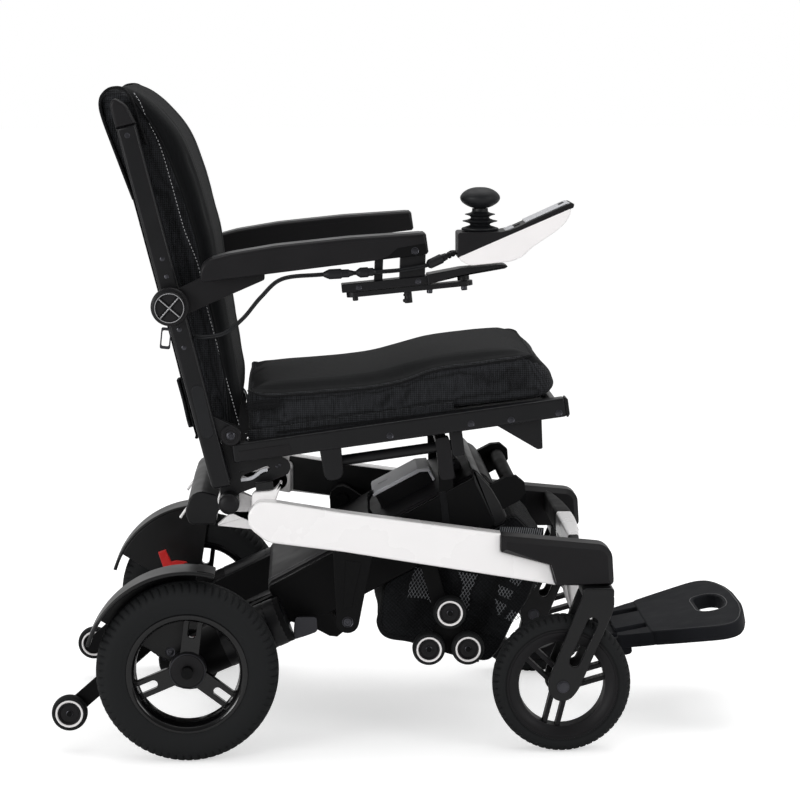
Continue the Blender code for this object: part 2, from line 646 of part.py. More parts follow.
RAIL_OUTLINE = [(0.0858, 0.3492), (0.0892, 0.3289), (0.114, 0.3083), (0.2183, 0.2945),
                (RAIL_TIP_X, 0.2430), (RAIL_NOTCH_X, 0.2740), (RAIL_STEP_X, 0.2935), (RAIL_STEP_X, 0.3190),
                (0.2185, 0.3512), (0.1255, 0.3666), (0.100, 0.3680)]
CAP_OUTLINE = [(RAIL_STEP_X + GAP, 0.3180), (RAIL_STEP_X + GAP, 0.2935 + GAP),
               (RAIL_NOTCH_X + GAP, 0.2740 + GAP), (RAIL_TIP_X + GAP, 0.2450), (SWIVEL_X + 0.0221, 0.2441),
               (SWIVEL_X + 0.0189, 0.2923), (SWIVEL_X + 0.0068, 0.3037)]
WEB_OUTLINE = [(0.092, 0.332), (0.118, 0.312), (0.150, 0.306), (0.150, 0.352), (0.1253, 0.3602),
               (0.1371, 0.3935), (0.1240, 0.3792), (0.0967, 0.3770), (0.092, 0.372)]
LUG_RADIUS = 0.0175
CAP_IN, CAP_OUT = SIDE_IN - 0.002, CASTER_Y + 0.0185
STEM_RADIUS = 0.008
STEM_LENGTH = 0.030
HANGER_Y = 0.055
HANGER_HALF = 0.011
CROSS_Z = 0.292

for side, sign in SIDES:
    y0, y1 = sign * SIDE_IN, sign * SIDE_OUT
    web = prism(WEB_OUTLINE, sign * (PLATE_OUT + RUN), sign * (SIDE_IN + RUN))
    bridge = prism([(0.100, 0.328), (0.118, 0.314), (0.146, 0.309), (0.146, 0.346), (0.110, 0.352)],
                   sign * LUG_IN, sign * (PLATE_OUT + 2 * RUN))
    lug = prism(capsule(REAR_PIVOT, (0.125, 0.330), LUG_RADIUS), sign * LUG_IN, sign * LUG_OUT)
    foot = prism([(0.0405, 0.3230), (0.110, 0.3150), (0.110, 0.345), (0.066, 0.345)],
                 sign * LUG_IN, sign * LUG_OUT)
    stub_pin = cross_rod(SCISSOR, sign * (ARM_IN - 0.004), sign * (SIDE_IN + RUN), PIN_RADIUS, 20)
    stub_boss = cross_rod(SCISSOR, sign * (ARM_OUT + RUN), sign * (SIDE_IN + RUN), 0.016, 16)
    node(f"side_rail_{side}", WHITE, FRONT, prism(rounded(RAIL_OUTLINE, 0.008, 2, (4, 5, 6, 7)), y0, y1),
         [web, bridge, lug, foot, stub_boss, stub_pin],
         [cross_rod(REAR_PIVOT, sign * (LUG_IN - 0.01), sign * (LUG_OUT + 0.0002), PIN_RADIUS + RUN / 2, 20)])

    hole = STEM_RADIUS + RUN / 2
    stem_hole = turned([(0, -0.01), (hole, -0.01), (hole, STEM_LENGTH + RUN), (0, STEM_LENGTH + RUN)],
                       (SWIVEL_X, sign * CASTER_Y, FORK_TOP), 16, "Z")
    node(f"rail_cap_{side}", PLASTIC, FRONT,
         prism(rounded(CAP_OUTLINE, 0.005, 2, (0, 1, 2, 3)), sign * CAP_IN, sign * CAP_OUT),
         [], [stem_hole])

    bolt_x, bolt_z, bolt_round = 0.2290, 0.1915, 0.0165
    bracket = [(0.2640, 0.2862 - GAP), (0.2085, 0.2953 - GAP),
               *arc((bolt_x, bolt_z), bolt_round, 184, 352, 8)]
    node(f"rail_bracket_{side}", BLACK, FRONT, prism(bracket, sign * (SIDE_OUT - 0.006), sign * SIDE_OUT), [],
         [cross_rod((bolt_x, bolt_z), sign * (SIDE_OUT - 0.002), sign * (SIDE_OUT + 0.01), 0.008, 16)])

hangers = []
for sign in (1, -1):
    y = sign * HANGER_Y
    path = [(CROSS_X, CROSS_Z), (CROSS_X + 0.004, 0.255), (CROSS_X + 0.008, 0.210),
            (CROSS_X + 0.017, 0.165), (FOOTPLATE_HINGE_X - 0.030, FOOTPLATE_HINGE_Z + 0.026),
            (FOOTPLATE_HINGE_X - 0.006, FOOTPLATE_HINGE_Z + 0.006)]
    hangers += [prism(capsule(a, b, 0.0105, 3), y - HANGER_HALF, y + HANGER_HALF)
                for a, b in zip(path, path[1:])]
FOOT_PIN = (FOOTPLATE_HINGE_X, FOOTPLATE_HINGE_Z)
FOOT_PIN_RADIUS = 0.006
node("front_cross_member", WHITE, FRONT,
     prism(rounded([(CROSS_X - 0.016, CROSS_Z - 0.020), (CROSS_X + 0.016, CROSS_Z - 0.020),
                    (CROSS_X + 0.016, CROSS_Z + 0.011), (CROSS_X - 0.016, CROSS_Z + 0.011)], 0.006, 2),
           -CAP_IN + GAP, CAP_IN - GAP),
     hangers + [cross_rod(FOOT_PIN, -HANGER_Y - 0.022, HANGER_Y + 0.022, FOOT_PIN_RADIUS, 12)])
node("rear_cross_beam", BLACK, FRONT,
     prism(rounded([(-0.0061, 0.3400), (0.0007, 0.3215), (0.040, 0.3215), (0.040, 0.3400),
                    (0.0480, 0.3450), (0.0440, 0.3640), (0.0159, 0.3715), (0.0020, 0.3640)], 0.004, 1),
           -LUG_IN + GAP, LUG_IN - GAP))


# Footplate: a tapering plate on a hinge, with a hand hole

def foot_point(s, h):
    return on_line(FOOT_PIN, FOOTPLATE_TILT, s, h)


def foot_matrix():
    return (Matrix.Translation((FOOT_PIN[0], 0, FOOT_PIN[1]))
            @ Matrix.Rotation(-FOOTPLATE_TILT, 4, "Y"))


def mirrored(half_plan):
    """A plan drawn for y above zero, closed by its mirror image."""
    return half_plan + [(x, -y) for x, y in reversed(half_plan) if y > 1e-6]


half_width = FOOTPLATE_WIDTH / 2
plate_plan = mirrored([(0.014, 0.0), (0.014, 0.088), (0.046, half_width - 0.055), (0.100, half_width - 0.028),
                       (0.150, half_width - 0.004), (0.166, half_width), (0.178, half_width - 0.003),
                       (0.188, half_width - 0.012), (0.197, half_width - 0.034),
                       (FOOTPLATE_LENGTH - 0.004, half_width - 0.075),
                       (FOOTPLATE_LENGTH, half_width - 0.118), (FOOTPLATE_LENGTH, 0.0)])
hole_plan = mirrored([(0.146, 0.0), (0.146, 0.032), (0.150, 0.046), (0.160, 0.052), (0.172, 0.051),
                      (0.181, 0.040), (0.186, 0.020), (0.187, 0.0)])
lug_shape = rounded(slab(-0.008, 0.030, -0.008, 0.020, foot_point), 0.005, 2)
lug_in, lug_out = HANGER_Y + HANGER_HALF + 2 * RUN, HANGER_Y + HANGER_HALF + 0.012
foot_lugs = [prism(lug_shape, s * lug_in, s * lug_out) for s in (1, -1)]
centre_lug = prism(lug_shape, -HANGER_Y + HANGER_HALF + 2 * RUN, HANGER_Y - HANGER_HALF - 2 * RUN)
foot_bore = cross_rod(FOOT_PIN, -0.09, 0.09, FOOT_PIN_RADIUS + RUN / 2, 16)
hanger_room = [prism(slab(0.010, 0.060, -0.02, 0.04, foot_point), s * (HANGER_Y - HANGER_HALF - 2 * RUN),
                     s * (HANGER_Y + HANGER_HALF + 2 * RUN)) for s in (1, -1)]
node("footplate", PLASTIC, pivot("footplate_axis", FOOT_PIN, 0.0, FRONT),
     plan_prism(plate_plan, PLATE_LIFT, PLATE_LIFT + FOOTPLATE_WALL, foot_matrix()),
     foot_lugs + [centre_lug], [plan_prism(hole_plan, -0.05, 0.07, foot_matrix()), foot_bore, *hanger_room])


# Casters

CROWN_LOW = FORK_TOP - 0.0145
BLADE_IN = CASTER_WIDTH / 2 + 0.002
BLADE_OUT = BLADE_IN + 0.006
CASTER_PIN = 0.006

for side, sign in SIDES:
    y = sign * CASTER_Y
    crown_outline = [(SWIVEL_X - 0.025, FORK_TOP), (SWIVEL_X + 0.0205, FORK_TOP),
                     (SWIVEL_X + 0.0205, CROWN_LOW), (SWIVEL_X - 0.025, CROWN_LOW)]
    crown = prism(rounded(crown_outline, 0.004, 2), y - BLADE_OUT, y + BLADE_OUT)
    blade_outline = [(SWIVEL_X - 0.025, CROWN_LOW + 0.004), (CASTER_AXLE[0] - 0.0215, CASTER_AXLE[1] + 0.010),
                     (CASTER_AXLE[0] - 0.0215, CASTER_AXLE[1] - 0.010),
                     (CASTER_AXLE[0] - 0.008, CASTER_AXLE[1] - 0.0225),
                     (CASTER_AXLE[0] + 0.010, CASTER_AXLE[1] - 0.0205),
                     (CASTER_AXLE[0] + 0.0225, CASTER_AXLE[1] - 0.005),
                     (SWIVEL_X + 0.0205, CROWN_LOW - 0.016), (SWIVEL_X + 0.0205, CROWN_LOW + 0.004)]
    slot = capsule((SWIVEL_X - 0.012, 0.192), (CASTER_AXLE[0] + 0.018, 0.136), 0.0055, 4)
    blades = [prism(blade_outline, y + s * BLADE_IN, y + s * BLADE_OUT) for s in (1, -1)]
    stem = turned([(0, -0.005), (STEM_RADIUS, -0.005), (STEM_RADIUS, STEM_LENGTH),
                   (0, STEM_LENGTH)],
                  (SWIVEL_X, y, FORK_TOP), 16, "Z")
    pin = cross_rod(CASTER_AXLE, y - BLADE_OUT - 0.002, y + BLADE_OUT + 0.002, CASTER_PIN, 12)
    swivel = pivot(f"swivel_axis_{side}", (SWIVEL_X, FORK_TOP), y, FRONT)
    wheel = pivot(f"caster_axis_{side}", CASTER_AXLE, y, swivel)
    node(f"caster_fork_{side}", BLACK, swivel, crown, [*blades, stem, pin],
         [prism(slot, y - 0.05, y + 0.05)])
    node(f"caster_tyre_{side}", RUBBER, wheel,
         turned(tyre_profile(CASTER_RADIUS, CASTER_RIM_RADIUS + 0.018, CASTER_WIDTH, 0.011),
                (CASTER_AXLE[0], y, CASTER_AXLE[1]), 30))
    wheel_rim(f"caster_rim_{side}", wheel, CASTER_AXLE, y, CASTER_RIM_RADIUS + 0.018, 0.018, CASTER_WIDTH,
              CASTER_PIN + RUN / 2, 0.013, 0.007, 30, 30)


# Seat: a welded frame with its slide rods, a board, hinge plates and the cushion

RAIL_LOW = SEAT_RAIL_TOP - SEAT_RAIL_HEIGHT
ROD_Y = (LUG_IN + PLATE_OUT) / 2
REAR_STOP = (0.141, 0.170)
FRONT_STOP = (PIVOT_SPAN + SLIDER_LENGTH / 2 + RUN, PIVOT_SPAN + 0.030)
frame_parts = []
for sign in (1, -1):
    y0, y1 = sign * RAIL_IN, sign * RAIL_OUT
    frame_parts.append(prism(slab(SEAT_RAIL_START, SEAT_RAIL_END, RAIL_LOW, SEAT_RAIL_TOP), y0, y1))
    bar_y0, bar_y1 = sign * (ROD_Y - 0.012), sign * (RAIL_IN + RUN)
    hanger = slab(REAR_STOP[0], REAR_STOP[1], 0.012, RAIL_LOW + 0.010)
    frame_parts.append(prism(rounded(hanger, 0.006, 2), bar_y0, bar_y1))
    frame_parts.append(prism(rounded(slab(*FRONT_STOP, 0.018, RAIL_LOW + 0.010), 0.006, 2), bar_y0, bar_y1))
    rod_start = seat_point(REAR_STOP[0] + 0.01, SLIDE_ROD_H)
    rod_end = seat_point(FRONT_STOP[1] - 0.005, SLIDE_ROD_H)
    frame_parts.append(rod((rod_start[0], sign * ROD_Y, rod_start[1]), (rod_end[0], sign * ROD_Y, rod_end[1]),
                           SLIDE_ROD_RADIUS, 14))
cross_bars = [cross_rod(seat_point(s, 0.0655), -RAIL_IN - RUN, RAIL_IN + RUN, 0.0095, 12)
              for s in (0.155, 0.338, 0.485)]
wedge = prism([seat_point(0.392, RAIL_LOW + 0.002), seat_point(0.452, 0.0115), seat_point(0.4595, 0.0115),
               seat_point(0.464, RAIL_LOW + 0.002), seat_point(0.464, RAIL_LOW + 0.012),
               seat_point(0.392, RAIL_LOW + 0.012)], -RAIL_IN - RUN, RAIL_IN + RUN)
node("seat_frame", BLACK, SEAT, frame_parts[0], frame_parts[1:] + cross_bars + [wedge])


def cushion_point(u, v):
    """A point u forward along the cushion's underside and v above it."""
    return on_line((CUSHION_BACK_X, CUSHION_BACK_Z), CUSHION_TILT, u, v)


BOARD_ENDS = (0.045, CUSHION_LENGTH - 0.030)
node("seat_board", CLOTH, SEAT,
     prism(slab(*BOARD_ENDS, -SEAT_BOARD_WALL - GAP, -GAP, cushion_point),
           -RAIL_IN + GAP, RAIL_IN - GAP))

for side, sign in SIDES:
    y0, y1 = sign * PLATE_IN, sign * PLATE_OUT
    lever_end = seat_point(0.0807, 0.0386)
    cap_low, cap_high = PLATE_OUT - RUN, TUBE_OUT - 0.0005
    node(f"hinge_plate_{side}", BLACK, SEAT, prism(capsule(REAR_PIVOT, BACK_PIVOT, 0.0136), y0, y1),
         [prism(capsule(seat_point(0.010, 0.022), lever_end, 0.0140), y0, y1),
          prism(slab(0.0, 0.085, 0.040, 0.078), y0, y1),
          cross_rod(REAR_PIVOT, sign * cap_low, sign * cap_high, 0.0150, 20),
          cross_rod(REAR_PIVOT, sign * (LUG_IN - 0.002), sign * (PLATE_IN + RUN), PIN_RADIUS, 20),
          cross_rod(BACK_PIVOT, sign * cap_low, sign * (RAIL_OUT - 0.003), 0.0060, 14)],
         [prism(capsule(seat_point(0.026, 0.0300), seat_point(0.060, 0.0385), 0.0045, 5),
                sign * (PLATE_IN - 0.01), sign * (PLATE_OUT + 0.002))])


def bump(u, start, end):
    """0 before start, 1 after end, smooth between."""
    t = min(1.0, max(0.0, (u - start) / (end - start)))
    return t * t * (3 - 2 * t)


def along(u, stops):
    """The height at u on a smooth curve through stops of (u, height)."""
    for (u0, v0), (u1, v1) in zip(stops, stops[1:]):
        if u <= u1:
            return v0 + (v1 - v0) * bump(u, u0, u1)
    return stops[-1][1]


def seat_cushion():
    """Foam that dips over the rear half and swells at the front, with sides drawn in to the seam."""
    seam_at = [(0.0, 0.0590), (0.178, 0.0500), (0.345, 0.0660), (CUSHION_LENGTH, 0.0680)]
    full = CUSHION_WIDTH / 2
    rings = []
    for share in (0.0, 0.012, 0.045, 0.11, 0.20, 0.30, 0.40, 0.50, 0.60, 0.70, 0.80, 0.88, 0.935, 0.97,
                  0.99, 1.0):
        u = share * CUSHION_LENGTH
        front = max(0.0, (u - 0.405) / (CUSHION_LENGTH - 0.405))
        rear = max(0.0, 1 - u / 0.030)
        seam = along(u, seam_at) * (1 - 0.66 * (1 - math.sqrt(max(0.0, 1 - front ** 2)))) - 0.010 * rear ** 2
        lift = 0.020 * front ** 4 + 0.004 * rear ** 2
        ridge = seam + 0.006 * (1 - front) * (1 - rear)
        crown = ridge + 0.005 * (1 - front) * (1 - rear)
        half = full - 0.008 * rear ** 2 - 0.012 * front ** 3
        right = [(0.0, lift), (half * 0.95, lift), (half, lift + 0.008), (half * 0.995, seam * 0.40),
                 (half * 0.97, seam * 0.78), (half * 0.925, seam), (half * 0.84, ridge - 0.001),
                 (half * 0.70, ridge), (half * 0.36, crown - 0.001), (0.0, crown)]
        section = right + [(-y, v) for y, v in reversed(right[1:-1])]
        rings.append([(x, y, z) for y, v in section for x, z in [cushion_point(u, v)]])
    return loft(rings)


node("seat_cushion", CLOTH, SEAT, seat_cushion())


# Slide carriage: two blocks on the rods, joined by a bar, pinned to the chassis

carriage = []
for sign in (1, -1):
    block = slab(PIVOT_SPAN - SLIDER_LENGTH / 2, PIVOT_SPAN + SLIDER_LENGTH / 2, -0.014,
                 SLIDE_ROD_H + SLIDE_ROD_RADIUS + 0.006)
    y0, y1 = sign * (ARM_OUT + RUN), sign * (ROD_Y + 0.010)
    carriage.append(prism(rounded(block, 0.005, 2), y0, y1))
    carriage.append(cross_rod(SLIDER_PIVOT, sign * (ARM_IN - 0.004), sign * (ARM_OUT + 2 * RUN), 0.0052, 16))
carriage_bar = prism(slab(PIVOT_SPAN - 0.008, PIVOT_SPAN + 0.008, SLIDE_ROD_H - 0.006, SLIDE_ROD_H + 0.006),
                     -ARM_OUT - 2 * RUN, ARM_OUT + 2 * RUN)
rod_bores = []
for sign in (1, -1):
    start = seat_point(PIVOT_SPAN - 0.03, SLIDE_ROD_H)
    end = seat_point(PIVOT_SPAN + 0.03, SLIDE_ROD_H)
    rod_bores.append(rod((start[0], sign * ROD_Y, start[1]), (end[0], sign * ROD_Y, end[1]),
                         SLIDE_ROD_RADIUS + RUN, 14))
node("slide_carriage", PLASTIC, CARRIAGE, carriage[0], carriage[1:] + [carriage_bar], rod_bores)


# Back: a welded frame of two tubes, a pad, and the armrest clamps

def tube_slab(start, end, front=BACK_TUBE_DEPTH / 2, rear=BACK_TUBE_DEPTH / 2):
    return slab(start, end, -rear, front, back_point)


back_parts = []
for sign in (1, -1):
    y0, y1 = sign * RAIL_IN, sign * TUBE_OUT
    tube_shape = [back_point(0.0, BACK_TUBE_DEPTH / 2), back_point(BACK_TUBE_LENGTH, BACK_TUBE_DEPTH / 2),
                  back_point(BACK_TUBE_LENGTH + 0.028, 0.008), back_point(BACK_TUBE_LENGTH + 0.042, -0.006),
                  back_point(BACK_TUBE_LENGTH + 0.034, -BACK_TUBE_DEPTH / 2),
                  back_point(0.002, -BACK_TUBE_DEPTH / 2)]
    back_parts.append(prism(tube_shape, y0, y1))
    lug_y0, lug_y1 = sign * (PLATE_OUT + RUN / 2), sign * (RAIL_OUT - 0.004)
    lug_root = back_point(0.098, 0.0)
    back_parts.append(prism(capsule(lug_root, BACK_PIVOT, 0.0128), lug_y0, lug_y1))
    back_parts.append(cross_rod(HUB, sign * (TUBE_OUT - RUN), sign * (STUD_END - GAP), STUD_RADIUS, 16))
back_bars = [prism(tube_slab(t, t + 0.022, 0.0055, 0.0115), -RAIL_IN - RUN, RAIL_IN + RUN)
             for t in (0.105, 0.250, 0.395)]
pivot_bores = [cross_rod(BACK_PIVOT, s * (PLATE_OUT - 0.01), s * (RAIL_OUT + 0.01), 0.0060 + RUN / 2, 16)
               for s in (1, -1)]
node("back_frame", BLACK, BACK, back_parts[0], back_parts[1:] + back_bars, pivot_bores)


def back_pad():
    """A pad thickest at shoulder height whose cover wraps over the top and hangs behind the bars."""
    stops = [(0.066, 0.0380, -0.0165), (0.072, 0.0425, -0.0180), (0.100, 0.0490, -0.0180),
             (0.145, 0.0579, -0.0175), (0.185, 0.0604, -0.0170), (0.228, 0.0651, -0.0165),
             (0.303, 0.0715, -0.0165), (0.343, 0.0750, -0.0165), (0.392, 0.0760, -0.0165),
             (0.430, 0.0750, -0.0165), (0.470, 0.0715, -0.0200), (0.509, 0.0640, -0.0260),
             (0.5350, 0.0530, -0.0290), (0.5525, 0.0426, -0.0300), (0.5700, 0.0300, -0.0300),
             (0.5825, 0.0160, -0.0280), (0.5900, -0.0040, -0.0200)]
    rings = []
    for t, front, rear in stops:
        deep = front - rear
        narrow = PLATE_IN - 2 * RUN
        half = narrow + (BACK_PAD_WIDTH / 2 - narrow) * bump(t, 0.100, 0.145)
        right = [(0.0, rear), (half * 0.90, rear), (half, rear + deep * 0.12), (half, rear + deep * 0.62),
                 (half * 0.975, rear + deep * 0.88), (half * 0.90, front), (half * 0.72, front - deep * 0.02),
                 (half * 0.40, front - deep * 0.05), (0.0, front - deep * 0.06)]
        section = right + [(-y, d) for y, d in reversed(right[1:-1])]
        rings.append([(x, y, z) for y, d in section for x, z in [back_point(t, d)]])
    return loft(rings)


bar_room = [back_point(0.050, -0.0125), back_point(0.050, 0.0065), back_point(0.430, 0.0065),
            back_point(0.430, -0.0125)]
node("back_pad", CLOTH, BACK, back_pad(), [], [prism(bar_room, -RAIL_IN, RAIL_IN)])


# Armrests, their clamp knobs, and the controller on the right one

def arm_point(u, v):
    """A point u forward along the armrest's underside and v above it."""
    return on_line((ARMREST_REAR_X, ARMREST_REAR_Z), ARMREST_TILT, u, v)


ARM_LENGTH = (ARMREST_FRONT_X - ARMREST_REAR_X) / math.cos(ARMREST_TILT)
pad_outline = [arm_point(u, v) for u, v in (
    (0.0, 0.0), (ARM_LENGTH, 0.0), (ARM_LENGTH - 0.001, 0.0250),
    (ARM_LENGTH - 0.006, 0.0302), (0.214, 0.0365), (0.110, 0.0383), (0.045, 0.0355), (0.018, 0.0318),
    (0.003, 0.0240))]
bracket_outline = [arm_point(0.004, 0.006), arm_point(0.091, 0.006), arm_point(0.089, -0.010),
                   shift(HUB, (0.058, 0.004)), shift(HUB, (0.010, -0.018)), shift(HUB, (-0.006, -0.012)),
                   shift(HUB, (-0.006, 0.016))]
ARMREST = {}
for side, sign in SIDES:
    ARMREST[side] = pivot(f"armrest_axis_{side}", HUB, sign * ARMREST_IN, BACK)
    knob_axis = pivot(f"knob_axis_{side}", HUB, sign * KNOB_IN, BACK)
    plate_low, plate_high = sign * (ARMREST_IN + ARMREST_PLATE_IN), sign * ARM_PLATE_OUT
    plate = prism(bracket_outline, plate_low, plate_high)
    eye = prism(disc(HUB, ARMREST_EYE, 24), plate_low, plate_high)
    spacer = prism(disc(HUB, 0.016, 16), sign * ARMREST_IN, plate_high)
    node(f"armrest_{side}", PLASTIC, ARMREST[side],
         prism(rounded(pad_outline, 0.004, 2), sign * ARMREST_IN, sign * ARMREST_OUT),
         [plate, eye, spacer],
         [cross_rod(HUB, sign * (ARMREST_IN - 0.01), sign * (ARMREST_OUT + 0.01), STUD_RADIUS + RUN / 2, 16)])
    ring = [(0, 0), (HUB_RADIUS, 0), (HUB_RADIUS, KNOB_RING), (HUB_RADIUS - 0.003, KNOB_RING + 0.002),
            (KNOB_RADIUS, KNOB_RING + 0.002), (KNOB_RADIUS, KNOB_DEPTH - 0.002),
            (KNOB_RADIUS - 0.002, KNOB_DEPTH), (0, KNOB_DEPTH)]
    knob_profile = [(r, sign * (KNOB_IN + o)) for r, o in ring]
    stud_hole = cross_rod(HUB, sign * (KNOB_IN - 0.01), sign * STUD_END, STUD_RADIUS + RUN / 2, 16)
    node(f"armrest_knob_{side}", PLASTIC, knob_axis,
         turned(knob_profile, (HUB[0], 0, HUB[1]), 24), [], [stud_hole])


def mount_point(u, v):
    """A point u forward of the swing arm's rear pivot and v above its middle."""
    return on_line((SWING_REAR_X, SWING_REAR_Z), MOUNT_TILT, u, v)


SWING = pivot("swing_axis", (SWING_REAR_X, SWING_REAR_Z), -CONTROLLER_Y, ARMREST["right"])
CONTROLLER = pivot("controller_axis", mount_point(SWING_LENGTH, 0), -CONTROLLER_Y, SWING)
MOUNT = (Matrix.Translation((SWING_REAR_X, -CONTROLLER_Y, SWING_REAR_Z))
         @ Matrix.Rotation(-MOUNT_TILT, 4, "Y"))


def mount_turned(profile, u, steps=14):
    """A profile spun about the link's normal, u forward of the rear pivot."""
    mesh = turned(profile, (u, 0, 0), steps, "Z")
    mesh.transform(MOUNT)
    return mesh


def pin_profile(radius, low, high):
    return [(0, low), (radius, low), (radius, high), (0, high)]


def centred(outline, width):
    """An outline extruded to a width about the controller's middle."""
    return prism(outline, -CONTROLLER_Y - width / 2, -CONTROLLER_Y + width / 2)


half_arm = SWING_ARM_WALL / 2
bar_low, bar_high = half_arm + RUN, half_arm + RUN + 0.012
foot_u = [(mount_point(u, 0)[0] - ARMREST_REAR_X) / math.cos(ARMREST_TILT)
          for u in (0.028, 0.040, 0.064, 0.100)]
post = [mount_point(0.028, bar_high - 0.004), mount_point(0.040, bar_high - 0.004),
        arm_point(foot_u[1], -GAP), arm_point(foot_u[0], -GAP)]
block = [mount_point(0.064, bar_high - 0.004), mount_point(0.100, bar_high - 0.004),
         arm_point(foot_u[3], -GAP), arm_point(foot_u[2], -GAP)]
node("controller_mount", BLACK, ARMREST["right"],
     centred(slab(-0.018, 0.108, bar_low, bar_high, mount_point), MOUNT_WIDTH),
     [centred(post, 0.012), centred(block, 0.020),
      mount_turned(pin_profile(MOUNT_PIN_RADIUS, -half_arm - 0.006, bar_low + 0.002), 0)])

link_plan = capsule((0, 0), (SWING_LENGTH, 0), SWING_ARM_WIDTH / 2)
node("swing_arm", BLACK, SWING, plan_prism(link_plan, -half_arm, half_arm, MOUNT),
     [mount_turned(pin_profile(0.0055, -0.020, -half_arm + 0.001), 0.0745, 10)],
     [mount_turned(pin_profile(MOUNT_PIN_RADIUS + RUN / 2, -0.03, 0.03), u) for u in (0, SWING_LENGTH)])
node("swing_plate", BLACK, CONTROLLER,
     centred(slab(0.118, 0.178, bar_low, PLATE_RISE - 0.005, mount_point), 0.030),
     [centred(slab(0.120, 0.212, PLATE_RISE - 0.0065, PLATE_RISE, mount_point), 0.040),
      mount_turned(pin_profile(MOUNT_PIN_RADIUS, -half_arm - 0.006, bar_low + 0.002), SWING_LENGTH)])


# Controller: a light lower shell under a dark body, with a joystick, its bellows and a button

REAR_FACE_X, REAR_FACE_Z = 0.3842, 0.7182
SLOPE_START = (0.4582, 0.7571)
SLOPE_LENGTH = 0.0918


def panel_point(s, h):
    """A point s up the sloping panel and h out of it."""
    return on_line(SLOPE_START, CONTROLLER_SLOPE, s, h)


def rounded_across(outline, edge=0.005):
    """A solid across the controller's width, with its two sides eased inwards."""
    half = CONTROLLER_WIDTH / 2
    rings = []
    for y, by in ((-half, edge), (-half + edge * 0.4, edge * 0.35), (-half + edge, 0.0),
                  (half - edge, 0.0), (half - edge * 0.4, edge * 0.35), (half, edge)):
        rings.append([(x, y - CONTROLLER_Y, z) for x, z in inset(outline, by)])
    return loft(rings)


split_front = on_line((REAR_FACE_X, REAR_FACE_Z), CONTROLLER_SLOPE, 0.1735)
shell_outline = [(REAR_FACE_X, REAR_FACE_Z), (REAR_FACE_X + 0.003, REAR_FACE_Z - 0.0035),
                 mount_point(0.1625, PLATE_RISE + GAP), mount_point(0.2215, PLATE_RISE + GAP),
                 (0.4739, 0.7185), (0.4878, 0.7319), (0.5227, 0.7556), (0.5352, 0.7667), (0.5428, 0.7810),
                 split_front]
node("controller_shell", WHITE, CONTROLLER, rounded_across(shell_outline))

lift = turn((0, GAP), CONTROLLER_SLOPE)
body_outline = [shift((REAR_FACE_X, REAR_FACE_Z), lift), shift(split_front, lift),
                panel_point(SLOPE_LENGTH + 0.0035, -0.0030), panel_point(SLOPE_LENGTH, 0), SLOPE_START,
                (0.4440, 0.7543), (REAR_FACE_X + 0.002, 0.7534), (REAR_FACE_X - 0.0002, 0.7515)]
pocket = slab(BUTTON_PLACE - BUTTON_LENGTH / 2 - GAP, BUTTON_PLACE + BUTTON_LENGTH / 2 + GAP,
              -0.0020 - BUTTON_TRAVEL - GAP, 0.01, panel_point)
TOP_Z = 0.7543
GIMBAL_Z = TOP_Z + 0.0036
STICK = (JOYSTICK_X, -CONTROLLER_Y, 0)
GIMBAL_HALF = 0.0015
GIMBAL_RING = (0.0042, 0.0065)
EAR = (0.0072, 0.0092)
TINY_PIN = 0.0008


def joystick_pin(start, end, radius, along_y=False):
    """A round pin through the joystick's centre, from start to end along X, or along Y."""
    ends = [(JOYSTICK_X, r - CONTROLLER_Y, GIMBAL_Z) if along_y else (JOYSTICK_X + r, -CONTROLLER_Y, GIMBAL_Z)
            for r in (start, end)]
    return rod(*ends, radius, 8)


ears = [prism([(JOYSTICK_X + s * EAR[0], TOP_Z - 0.001), (JOYSTICK_X + s * EAR[1], TOP_Z - 0.001),
               (JOYSTICK_X + s * EAR[1], GIMBAL_Z + 0.0018), (JOYSTICK_X + s * EAR[0], GIMBAL_Z + 0.0018)],
              -CONTROLLER_Y - 0.002, -CONTROLLER_Y + 0.002) for s in (1, -1)]
node("controller_body", PLASTIC, CONTROLLER, rounded_across(body_outline, 0.003), ears,
     [centred(pocket, BUTTON_WIDTH + 2 * GAP), joystick_pin(-0.012, 0.012, TINY_PIN + GAP)])
button_axis = pivot("button_axis", panel_point(BUTTON_PLACE, 0), -CONTROLLER_Y, CONTROLLER)
node("power_button", PLASTIC, button_axis,
     centred(slab(BUTTON_PLACE - BUTTON_LENGTH / 2, BUTTON_PLACE + BUTTON_LENGTH / 2, -0.0020, 0.0014,
                  panel_point), BUTTON_WIDTH))

GIMBAL = pivot("gimbal_axis", (JOYSTICK_X, GIMBAL_Z), -CONTROLLER_Y, CONTROLLER)
stick_axis = pivot("joystick_axis", (JOYSTICK_X, GIMBAL_Z), -CONTROLLER_Y, GIMBAL)
ring_low, ring_high = GIMBAL_Z - GIMBAL_HALF, GIMBAL_Z + GIMBAL_HALF
ring_shape = [(GIMBAL_RING[0], ring_low), (GIMBAL_RING[1], ring_low),
              (GIMBAL_RING[1], ring_high), (GIMBAL_RING[0], ring_high)]
node("joystick_gimbal", STEEL, GIMBAL, turned(ring_shape, STICK, 12, "Z"),
     [joystick_pin(s * (GIMBAL_RING[1] - 0.0005), s * (EAR[1] - 0.0004), TINY_PIN) for s in (1, -1)],
     [joystick_pin(-0.012, 0.012, TINY_PIN + GAP, along_y=True)])
knob = [(0, ring_low), (0.0032, ring_low), (0.0032, GIMBAL_Z + 0.005), (0.004, GIMBAL_Z + 0.006),
        (0.004, 0.7860), (0.0125, 0.7862),
        (0.0215, 0.7900), (0.0268, 0.7950), (0.0282, 0.8005), (0.0264, 0.8062), (0.0205, 0.8112),
        (0.0115, 0.8144), (0, 0.8154)]
